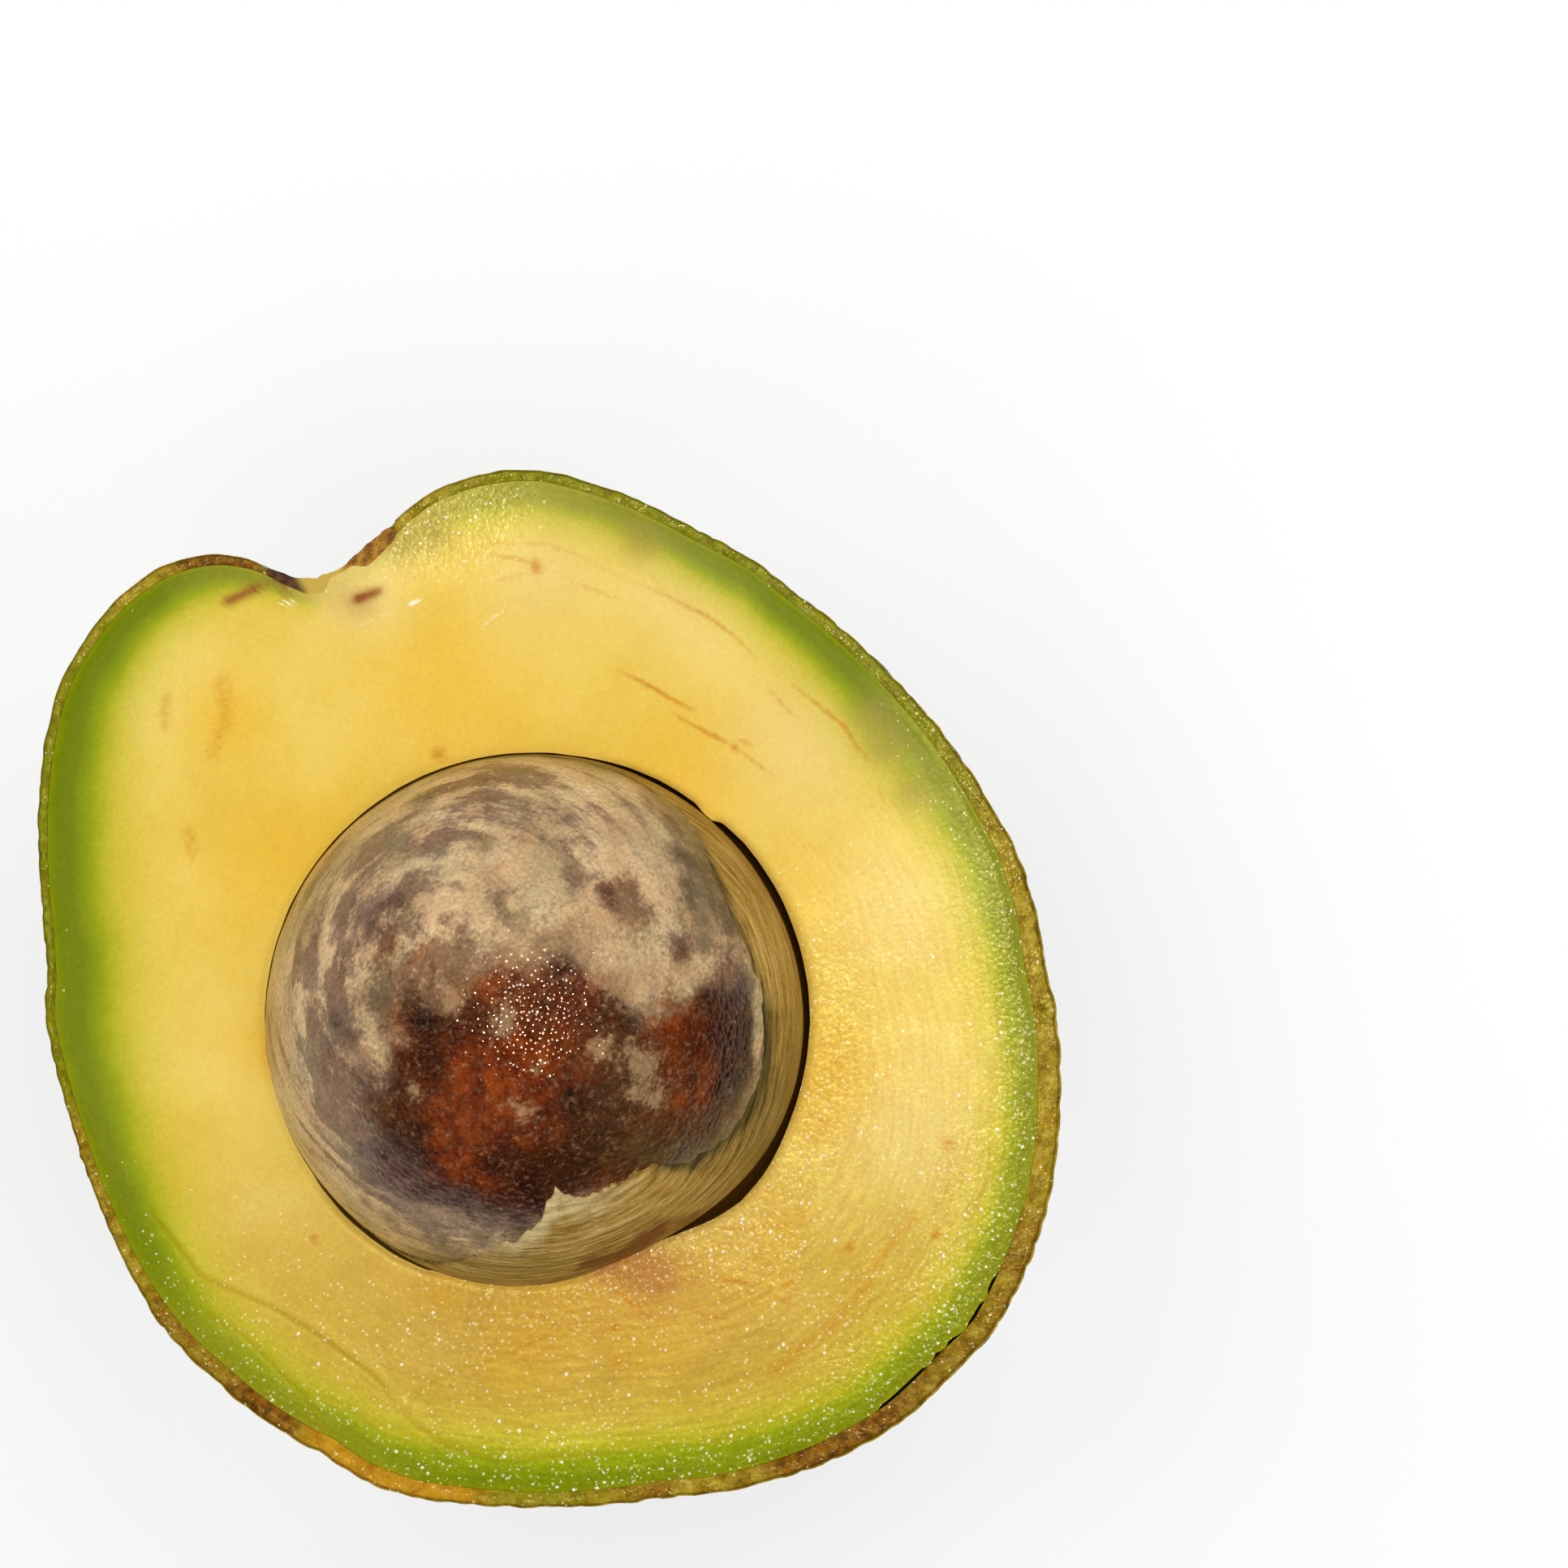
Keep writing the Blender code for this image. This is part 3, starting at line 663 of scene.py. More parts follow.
class Finish(Nodes):
    """A material in the making. Base is the colour laid down so far."""

    def __init__(self, name):
        self.made = bpy.data.materials.new(name)
        self.made.use_nodes = True
        super().__init__(self.made.node_tree)
        self.shader = self.tree.nodes["Principled BSDF"]
        self.where = self.put("ShaderNodeTexCoord", {}).outputs["Object"]
        self.base = None

    def layer(self, name, output="Fac"):
        """What the mesh's layer of that name holds."""
        return self.put("ShaderNodeAttribute", {}, attribute_name=name).outputs[output]

    def read(self, mask):
        """A mask may be given as the name of its layer."""
        return self.layer(mask) if isinstance(mask, str) else mask

    def fleck(self, size, detail=2.0, roughness=0.5):
        """Noise from 0 to 1 with features of about that size in millimetres."""
        return self.noise(self.where, 1.0 / (size * MM), detail, roughness)

    def threads(self, scale, detail, roughness):
        """Noise drawn out along the run of the surface, which the swirl layer gives."""
        return self.noise(self.layer("swirl", "Vector"), scale, detail, roughness)

    def ramp(self, value, *stops):
        """A colour ramp. Each stop is a place and a colour code or a grey level."""
        node = self.put("ShaderNodeValToRGB", {0: self.read(value)})
        points = node.color_ramp.elements
        while len(points) < len(stops):
            points.new(0.5)
        for point, (place, shade) in zip(points, stops):
            point.position = place
            point.color = colour(shade) if isinstance(shade, str) else (shade, shade, shade, 1.0)
        return node.outputs["Color"]

    def mix(self, mask, first, second, kind="MIX"):
        first, second = (colour(shade) if isinstance(shade, str) else shade for shade in (first, second))
        wires = {0: self.read(mask), 6: first, 7: second}
        return self.put("ShaderNodeMix", wires, data_type="RGBA", blend_type=kind).outputs[2]

    def over(self, mask, shade, strength=None, kind="MIX"):
        """Lays a colour over the base, as far as the mask says, times the strength."""
        mask = self.read(mask)
        if strength is not None:
            mask = self.times(mask, strength)
        self.base = self.mix(mask, self.base, shade, kind)

    def use(self, group, output, wires):
        return self.put("ShaderNodeGroup", {"Vector": self.where, **wires}, node_tree=group).outputs[output]

    def ragged(self, mask, size, raggedness, softness):
        wires = {"Mask": self.read(mask), "Scale": 1.0 / (size * MM)}
        return self.use(RAGGED, "Mask", {**wires, "Raggedness": raggedness, "Softness": softness})

    def wet_grain(self, fine, bead, beads):
        wires = {"Fine Scale": 1.0 / (fine * MM), "Bead Scale": 1.0 / (bead * MM), "Beads": beads}
        return self.use(WET_GRAIN, "Height", wires)

    def specks(self, spacing, size, share):
        return self.use(SPECKS_GROUP, "Mask", {"Scale": 1.0 / (spacing * MM), "Size": size, "Share": share})

    def done(self, roughness, gloss, height, depth, tint=(1.0, 1.0, 1.0)):
        """Sets the shader: roughness, gloss with its tint, and bumps of that depth in millimetres."""
        bump = self.put("ShaderNodeBump", {"Height": height, "Distance": depth * MM, "Strength": 1.0})
        self.wire(self.shader, {
            "Base Color": self.base, "Roughness": roughness, "Specular IOR Level": gloss,
            "Specular Tint": (*tint, 1.0), "Normal": bump.outputs["Normal"],
        })
        return self.made


# Finishes

def finish_flesh():
    """Yellow flesh, going over to green under the skin, with fibres, stains and painted glints where it is
    wet.
    """
    paint = Finish("cut flesh")
    paint.base = paint.ramp(paint.fleck(9.0, 3.0), (0.3, "DEBA4C"), (0.5, "E6C55C"), (0.7, "EBCE6E"))
    # painted shade: the flesh darker towards the bottom of the view, where the light falls off
    paint.over("painted_low_shade", paint.ramp(paint.fleck(5.0), (0.3, "BA8C34"), (0.7, "CC9E46")))
    paint.over("deep", "E6B22C")
    paint.over("cream", "E9CC7E")
    paint.over(paint.ragged("warm", 2.6, 1.1, 0.35), "D69C2C", 0.34)
    paint.over("tinged", "BCAC2C")
    paint.over("pink", "B67A40")
    wander = paint.times(paint.minus(paint.fleck(3.0, 4.0), 0.5), 0.09)
    depth = paint.plus(paint.layer("depth"), wander)
    greens = paint.ramp(
        depth, (0.0, "7C8800"), (0.06, "647400"), (0.16, "5E7000"), (0.24, "768800"), (0.34, "9CA200"),
        (0.48, "BAB01A"), (0.7, "D0B83A"),
    )
    limes = paint.ramp(
        depth, (0.0, "788400"), (0.1, "6C8000"), (0.28, "829600"), (0.46, "ACAE10"), (0.7, "CEBC3C"),
    )
    fade = paint.ramp(depth, (0.0, 1.0), (0.3, 0.95), (0.48, 0.6), (0.72, 0.25), (0.95, 0.0))
    paint.over(paint.times(fade, paint.layer("green")), paint.mix("lime", greens, limes))
    paint.over("smudge", "9C8840")
    paint.over("bruise", "8C4A22")
    paint.over("nick", "B08A14")
    paint.over(paint.ragged("fibre", 0.45, 0.9, 0.45), "C47A10", 0.75)
    stripes = paint.ramp(paint.threads(1.0, 4.0, 0.65), (0.34, 0.26), (0.66, 0.74))
    paint.over("striped", stripes, 0.26, "OVERLAY")
    # painted shade: dark brown in the gap round the seed, on the hollow's walls and in a thin line at its rim
    paint.over("hollow", "6E420E")
    wet = paint.layer("wet")
    grainy = paint.plus(paint.times(wet, 0.22), 0.16)
    paint.over(grainy, paint.ramp(paint.fleck(0.35, 3.0, 0.7), (0.3, 0.28), (0.7, 0.8)), kind="OVERLAY")
    # painted highlights: pale dew specks and white glint specks on the base colour, more where the face is
    # wetter
    wettest = paint.ramp(wet, (0.24, 0.0), (0.5, 0.3), (0.92, 1.0))
    moist = paint.times(wettest, paint.ramp(paint.fleck(3.2, 3.0), (0.38, 0.2), (0.6, 1.0)))
    painted_dew_share = paint.ramp(wet, (0.12, 0.0), (0.42, 0.65), (1.0, 0.95))
    paint.over(paint.specks(0.4, 0.27, painted_dew_share), "FFF3C0", 0.54)
    paint.over(paint.specks(0.58, 0.22, paint.times(moist, 0.76)), "FFF9E2", 0.86)
    # painted highlight along the short wet lines and scratches
    paint.over(paint.ragged("shine", 0.35, 1.0, 0.35), "FFFAE0", 0.85)
    height = paint.times(paint.wet_grain(0.26, 0.42, 0.8), paint.plus(paint.times(wet, 0.85), 0.12))
    roughness = paint.ramp(wet, (0.0, 0.5), (0.25, 0.3), (0.7, 0.16))
    return paint.done(roughness, 0.11, height, 0.028, (1.0, 0.86, 0.26))


def finish_skin_edge():
    """The skin where the knife went through it: grainy olive and tan, browner in patches, with painted
    glints.
    """
    paint = Finish("skin in section")
    paint.base = paint.ramp(
        paint.fleck(1.1, 5.0, 0.7), (0.28, "543E02"), (0.42, "866A0C"), (0.55, "A48A22"), (0.66, "BA9C3A"),
        (0.8, "D2B86A"),
    )
    olive = paint.ramp(paint.fleck(0.6), (0.3, "545A00"), (0.7, "848A08"))
    paint.over(paint.ragged("olive", 1.2, 0.9, 0.3), olive, 0.8)
    gold = paint.ramp(paint.fleck(0.8), (0.3, "A66E08"), (0.7, "CE9820"))
    paint.over(paint.ragged("gold", 1.5, 0.9, 0.25), gold, 0.85)
    rust = paint.ramp(paint.fleck(0.6, 3.0), (0.3, "3E1E04"), (0.5, "70400C"), (0.7, "966216"))
    paint.over(paint.ragged("rust", 1.6, 1.0, 0.25), rust, 0.9)
    paint.over(paint.ragged("outer", 0.6, 0.7, 0.3), "332E08", 0.8)
    # painted highlights: pale specks for glints on the grainy section
    shown = paint.ramp(paint.fleck(2.4, 3.0), (0.4, 0.15), (0.62, 0.75))
    paint.over(paint.specks(0.45, 0.2, shown), "FBE7BC", 0.75)
    roughness = paint.ramp(paint.fleck(1.6), (0.35, 0.38), (0.6, 0.18))
    return paint.done(roughness, 0.14, paint.fleck(0.32, 1.5), 0.08, (1.0, 0.88, 0.35))


def finish_skin():
    """Dark skin, greener near the stem, with paler pebbles and corky tips."""
    paint = Finish("pebbled skin")
    dark = paint.ramp(
        paint.fleck(16.0, 3.0, 0.6), (0.3, "19150C"), (0.48, "24210F"), (0.6, "2F3410"), (0.75, "35261A"),
    )
    green = paint.ramp(paint.fleck(3.0, 4.0), (0.3, "26340A"), (0.7, "56701A"))
    paint.base = paint.mix("near_stem", dark, green)
    pebble = paint.ramp(
        "tone", (0.0, "2A1C14"), (0.35, "37321A"), (0.62, "4A3424"), (0.86, "5A5222"), (1.0, "6A6C28"),
    )
    paint.over("pebble", pebble, 0.55)
    tip = paint.ramp("tone", (0.0, "5E2E16"), (0.5, "7A4A20"), (0.8, "8A7A2A"), (1.0, "9AA038"))
    paint.over(paint.ragged("tip", 0.5, 0.5, 0.15), tip)
    roughness = paint.ramp(paint.fleck(1.2, 3.0), (0.3, 0.22), (0.7, 0.42))
    return paint.done(roughness, 0.5, paint.wet_grain(0.35, 0.8, 0.4), 0.1)


def finish_seed():
    """Mottled papery film over the glossy brown seed, streaked round one point and worn off in the middle."""
    paint = Finish("seed")

    def stippled(name, size, raggedness, softness, share=1.0, dots=1.6):
        """A mask off a layer, with a ragged edge that breaks up into fine dots."""
        coarse = paint.ragged(name, size, raggedness, softness)
        return paint.times(paint.ragged(coarse, 0.42, dots, 0.45), share)

    paint.base = paint.ramp(
        paint.fleck(3.0, 6.0, 0.68), (0.32, "240600"), (0.44, "401200"), (0.56, "5A2002"), (0.7, "783806"),
    )
    glow = paint.ramp(paint.fleck(1.4, 5.0, 0.65), (0.36, "481200"), (0.5, "722800"), (0.64, "943F04"))
    paint.over("glow", glow, 0.85)
    paint.over("dark", "180400", 0.82)
    taupe = paint.ramp(paint.fleck(0.8, 4.0, 0.7), (0.3, "381E0C"), (0.55, "5C3A18"), (0.75, "7C582C"))
    paint.over("taupe", taupe, 0.7)
    brown = paint.base
    streaks = paint.threads(1.5, 5.0, 0.6)
    mottle = paint.fleck(2.0, 6.0, 0.68)
    drawn_out = paint.times(paint.minus(streaks, 0.46), paint.times(paint.layer("streaky"), 4.6))
    blotched = paint.times(paint.minus(mottle, 0.5), 2.6)
    smeared = paint.times(paint.layer("bruised"), paint.times(mottle, 2.0))
    marks = paint.plus(paint.plus(drawn_out, blotched), smeared, clamp=True)
    paint.base = paint.ramp(
        paint.fleck(4.0, 5.0, 0.6), (0.3, "C29A6E"), (0.45, "DAB484"), (0.6, "E8C694"), (0.75, "F2D6AA"),
    )
    smudge = paint.ramp(paint.fleck(1.5, 4.0), (0.3, "4E2A1E"), (0.55, "704A3C"), (0.75, "8C6A54"))
    paint.over(paint.ragged(marks, 0.34, 1.0, 0.62), smudge, 0.85)
    paint.over(paint.ramp(paint.fleck(5.5, 4.0), (0.46, 0.0), (0.64, 1.0)), "8E8660", 0.42)
    paint.over(stippled("thin", 1.2, 1.0, 0.62, 0.75), brown)
    worn = stippled("bare", 2.2, 0.9, 0.5, dots=0.85)
    paint.over(worn, brown)
    plum = paint.ramp(paint.fleck(1.4, 4.0), (0.3, "2E1A16"), (0.7, "70564E"))
    paint.over(stippled("plum", 2.2, 0.8, 0.62, 0.7), plum)
    paint.over(stippled("patch", 0.8, 1.6, 0.66, 0.55, dots=2.2), "BC976C")
    olive = paint.ramp(streaks, (0.35, "241A04"), (0.6, "604A1E"))
    paint.over(paint.ragged("olive", 2.0, 0.6, 0.4), olive, 0.82)
    paint.over(paint.ragged("dot", 0.5, 0.4, 0.2), "140604")
    paint.over(0.38, paint.ramp(paint.fleck(0.28, 2.0, 0.6), (0.3, 0.22), (0.7, 0.8)), kind="OVERLAY")
    roughness = paint.ramp(worn, (0.0, 0.24), (1.0, 0.12))
    return paint.done(roughness, 0.33, paint.wet_grain(0.3, 0.52, 7.0), 0.013, (1.0, 0.76, 0.52))


def finish_coat():
    """Papery threads that run along the tear, pale on the front and tan where they dried on the side."""
    paint = Finish("torn seed coat")
    threads = paint.threads(2.2, 5.0, 0.65)
    pale = paint.ramp(threads, (0.3, "64440F"), (0.44, "927028"), (0.58, "B89450"), (0.75, "D6BE80"))
    tan = paint.ramp(threads, (0.3, "74541A"), (0.45, "A47C30"), (0.62, "CAA456"), (0.78, "E2C688"))
    paint.base = paint.mix("tan", pale, tan)
    fresh = paint.ramp(threads, (0.35, "B89C62"), (0.6, "DCC894"))
    paint.over(paint.ragged("fresh", 1.0, 0.8, 0.55), fresh)
    paint.over(paint.ragged("dusk", 1.5, 0.5, 0.45), paint.ramp(threads, (0.35, "2C240A"), (0.65, "6E5C2C")))
    rust = paint.ramp(threads, (0.35, "4A1A06"), (0.65, "8A4212"))
    paint.over(paint.ragged("rust", 1.3, 1.5, 0.3), rust, 0.85)
    paint.over(0.3, paint.ramp(paint.fleck(0.26, 2.0, 0.6), (0.3, 0.25), (0.7, 0.8)), kind="OVERLAY")
    return paint.done(0.45, 0.12, threads, 0.12, (1.0, 0.85, 0.5))


def finish_cork():
    """Rough cork, dark on one side of the stem and lighter on the other."""
    paint = Finish("stem cork")
    rough = paint.fleck(0.9, 6.0, 0.7)
    dark = paint.ramp(rough, (0.3, "20120A"), (0.48, "4A2E1C"), (0.62, "6C4A2A"), (0.78, "8A6C42"))
    light = paint.ramp(rough, (0.3, "5A3610"), (0.48, "9C6826"), (0.62, "C48E30"), (0.78, "DCB058"))
    paint.base = paint.mix("light", dark, light)
    paint.over("pale", "D2B04C")
    return paint.done(0.7, 0.2, rough, 0.35)


# Pieces

AROUND = 600
TURN = np.arange(AROUND) * math.tau / AROUND


def hollow_edge(turn):
    """Edge of the hollow in the cut face, which keeps clear of the coat by the gap that shows."""
    side = unit(turn, 0.0)
    radius = seed_radius(side) + by_angle(turn, COAT_THICKNESS) + by_angle(turn, COAT_GAP)
    radius += 0.04 * grain_at(side * SEED_SIDE, 1.6, 3.0)
    return SEED_MIDDLE[:2] + side[:, :2] * radius[:, None]


def flesh_edge(turn):
    """Outer edge of the flesh in the cut face, come away from the skin in a broken line on one side."""
    radius = fruit_radius(turn, 0.0) - rind_thickness(turn, 0.0)
    angle = seen_angle(turn)
    loose = sum(
        smooth(start - 0.3, start + 0.4, angle) * (1.0 - smooth(end - 0.4, end + 0.3, angle))
        for start, end in LOOSE_SKIN
    )
    return unit(turn, 0.0)[:, :2] * (radius - 0.02 - LOOSE_GAP * loose)[:, None]


def knife_relief(right, up):
    """Height of the cut face: faint waves, the knife's steps, scratches and fine rows on one side."""
    flat = np.stack((right, up, np.zeros_like(right)), axis=-1)
    height = 0.1 * grain_at(flat, 14.0, 1.0) + 0.03 * grain_at(flat, 3.0, 2.0)
    for line, amount, width in KNIFE_STEPS:
        distance, side, along = line_distance(right, up, line)
        ends = fading(along, 0.12)
        height += amount * np.exp(-distance / width) * smooth(-0.25, 0.25, side * distance) * ends
        height -= 0.05 * bell(distance, 0.2) * ends
    for line in SCRATCHES:
        distance, _, along = line_distance(right, up, line)
        height -= 0.05 * bell(distance, 0.16) * fading(along, 0.2)
    return height


def make_flesh():
    """One solid: hollow, cut face and outside."""
    dips = np.radians(np.linspace(88.0, 0.0, 22, endpoint=False))[:, None]
    inner = hollow_edge(TURN)
    outer = flesh_edge(TURN)
    bowl = unit(TURN[None, :], dips)
    wide = np.linalg.norm(inner - SEED_MIDDLE[:2], axis=1)[None, :]
    reach = wide * np.cos(dips) ** 2 + (SEED_TOP + 0.6) * np.sin(dips) ** 2
    hollow = SEED_MIDDLE + bowl * reach[..., None]
    shares = np.linspace(0.0, 1.0, 118)[:, None, None]
    flat = inner[None] * (1.0 - shares) + outer[None] * shares
    right, up = seen(flat[..., 0], flat[..., 1])
    from_seed = np.linalg.norm(flat - inner[None], axis=-1)
    from_skin = np.linalg.norm(flat - outer[None], axis=-1)
    relief = knife_relief(right, up)
    wet = wetness(right, up, from_seed, from_skin)
    side = np.stack((right, up, 0.0 * up), axis=-1)
    rows_here = smooth(8.0, 34.0, right - up) * smooth(2.0, 4.0, from_skin) * smooth(1.0, 5.0, from_seed)
    rows_here = rows_here * smooth(-0.3, 0.4, grain_at(side, 6.0, 6.0) + 0.1)
    wave = np.sin(math.tau * from_skin / ROW_SPACING + 4.5 * grain_at(side, 3.0, 7.0))
    relief += ROW_HEIGHT * rows_here * wave
    relief += 0.03 * smooth(0.5, 1.0, wet) * grain_at(side, 0.7, 4.0)
    relief *= smooth(0.0, 0.8, from_skin) * smooth(0.0, 0.8, from_seed)
    relief -= 0.16 * bell(from_seed, 0.3) + 0.05 * bell(from_skin, 0.25)
    face = np.concatenate((flat, relief[..., None]), axis=-1)
    falls = np.radians(np.linspace(1.0, 88.0, 24))[:, None]
    side = unit(TURN[None, :], falls)
    radius = np.linalg.norm(outer, axis=1)[None, :]
    full = fruit_radius(TURN[None, :], falls) - rind_thickness(TURN[None, :], falls) - 0.05
    radius = radius + (full - radius) * smooth(0.0, 0.12, falls)
    back = side * radius[..., None]
    rows = np.concatenate((hollow, face, back))
    before, after = len(hollow), len(back)

    def on_face(values):
        """Values of the cut face, held on down the hollow and the back."""
        values = np.broadcast_to(values, (*from_skin.shape, *values.shape[2:]))
        start, end = np.repeat(values[:1], before, axis=0), np.repeat(values[-1:], after, axis=0)
        return np.concatenate((start, values, end))

    def face_only(values, inside=0.0):
        """Values of the cut face, with others down the hollow and nothing on the back."""
        inside = np.broadcast_to(inside, (before, AROUND))
        return np.concatenate((inside, values, np.zeros((after, AROUND))))

    def spots(places, strength):
        return on_face(np.clip(zones(right, up, places), 0.0, 1.0) * strength)

    def round_fruit(points):
        return by_angle(TURN, points)[None, :]

    gaping = smooth(0.06, 0.28, round_fruit(COAT_GAP))
    swirl = 8.0 * unit(TURN[None, :], 0.0 * from_skin)
    swirl[..., 2] = from_skin / STRIPE_SPACING
    layers = {
        "depth": on_face(np.clip(from_skin / round_fruit(GREEN_WIDTH) / 3.0, 0.0, 1.0)),
        "green": on_face(round_fruit(GREEN_SHARE)),
        "lime": on_face(round_fruit(LIME_SHARE)),
        "tinged": on_face(0.6 * bell(from_skin, 6.5) * smooth(2.0, 26.0, -up)),
        "warm": spots(WARM, 0.8),
        "pink": spots(PINK, 0.8),
        "deep": spots(DEEP_YELLOW, 0.62),
        "cream": spots(CREAM, 0.75),
        "smudge": spots(SMUDGE, 0.6),
        # painted shade, stronger towards the bottom of the view
        "painted_low_shade": on_face(smooth(4.0, 30.0, -up) * 0.9),
        "nick": on_face(nick_mask(right, up)),
        "bruise": on_face(stem_bruise(right, up)),
        "fibre": on_face(fibre_mask(right, up)),
        # painted highlight strokes
        "shine": on_face(drawn(right, up, SHINES, 0.13, lambda along: rounded(np.clip(along, 0.04, 0.96)))),
        "striped": on_face(smooth(-6.0, 26.0, right - up) * smooth(0.6, 3.0, from_seed)),
        "swirl": on_face(swirl),
        # painted shade in the gap round the seed, darker where the gap is open wider
        "hollow": face_only((0.08 + 0.37 * gaping) * bell(from_seed, 0.22), 0.45 + 0.5 * gaping),
        "wet": face_only(wet),
    }
    piece = loft("flesh_of_half", rows + np.array((0.0, 0.0, CUT)), layers, (finish_flesh(),))
    place_piece(piece, "flesh")


def wetness(right, up, from_seed, from_skin):
    """How wet and grainy the cut face is, which also sets where painted glints go: most along the seed's
    lower right, the skin and the lower half.
    """
    low_right = smooth(-8.0, 34.0, right - up)
    wet = 0.02 + 0.38 * low_right
    wet = wet + 0.75 * bell(from_seed, 2.6) * smooth(8.0, 26.0, right - up)
    wet = wet + (0.12 + 0.58 * smooth(20.0, 50.0, right - up)) * bell(from_skin, 2.2)
    wet = wet + 0.24 * smooth(4.0, 24.0, -up) * (1.0 - low_right)
    wet = wet + 0.9 * zones(right, up, WETTEST)
    return np.clip(wet, 0.0, 1.0)


def drawn(right, up, lines, spread, ends):
    """Mask of thin lines, each with its strength. Ends tells how a line fades along its length."""
    mask = np.zeros(right.shape)
    for line, strength in lines:
        distance, _, along = line_distance(right, up, line)
        mask = np.maximum(mask, strength * bell(distance, spread) * ends(along))
    return mask


def nick_mask(right, up):
    """Darker lines along the knife's steps, more so where the step is high."""
    lines = [(line, min(0.4, 2.2 * abs(amount))) for line, amount, _ in KNIFE_STEPS]
    return drawn(right, up, lines, 0.11, lambda along: fading(along, 0.1))


def stem_bruise(right, up):
    """Brown and pink stain in the flesh just under the stem scar."""
    stain = 0.24 * zones(right, up, ((-15.7, 33.3, 1.2), (-14.0, 32.8, 0.9)))
    for line, width, amount in STEM_MARKS:
        stain = stain + amount * bell(line_distance(right, up, line)[0], width)
    return np.clip(stain, 0.0, 1.0)


def fibre_mask(right, up):
    """Cut fibres, broad streaks and specks."""
    mask = drawn(right, up, FIBRES, FIBRE_WIDTH, lambda along: 0.5 + 0.5 * rounded(along))
    for line, width in STREAKS:
        mask = np.maximum(mask, 0.45 * bell(line_distance(right, up, line)[0], width))
    for x, y, size in SPECKS:
        mask = np.maximum(mask, 0.8 * bell(np.hypot(right - x, up - y), size))
    return mask


def skin_relief(directions):
    """Pebbles and stem wrinkles of the skin: height, how far up a pebble, its tone and its corky tip."""
    away, around = stem_polar(directions)
    centres = lattice(PEBBLES, 0.3, 11)
    first, second, which = nearest_two(directions, centres)
    first, second = first * MEAN_RADIUS, second * MEAN_RADIUS
    tone, chance = (np.random.default_rng(seed).random(PEBBLES)[which] for seed in (12, 13))
    size = 0.6 + 0.6 * chance
    dome = smooth(0.0, 1.3, second - first) * (0.45 + 0.55 * bell(first, 1.0))
    nub = bell(first, 0.55)
    far = smooth(14.0, 34.0, away)
    pebble = nub * (1.0 - far) + dome * far
    grown = smooth(4.0, 11.0, away)
    broad = layered(directions * MEAN_RADIUS, 9.0, 21.0)
    height = 0.58 * size * (pebble - 0.3) * grown * (0.6 + 0.4 * far) + 0.12 * broad
    ruffle = np.stack((np.cos(around) * 5.5, np.sin(around) * 5.5, away * 0.14), axis=-1)
    ridges = 1.0 - np.abs(layered(ruffle, 1.0, 31.0, layers=2)) * 2.0
    height += 0.34 * (ridges - 0.5) * smooth(4.5, 7.0, away) * (1.0 - smooth(9.0, 21.0, away))
    tip = bell(first, 0.42) * (tone > 0.4) * grown * (1.0 - 0.35 * far)
    return height, pebble * grown, tone, tip


def in_scar(turn, dip):
    """1 where the cork of the stem scar covers the skin."""
    return 1.0 - smooth(SCAR_RADIUS - 0.5, SCAR_RADIUS + 0.2, stem_polar(unit(turn, dip))[0])


def patches(places):
    """Soft patches round the rim, each with its angle as seen, spread and strength."""
    angle = seen_angle(TURN)
    return sum(
        amount * bell((angle - middle + 180.0) % 360.0 - 180.0, spread) for middle, spread, amount in places
    )


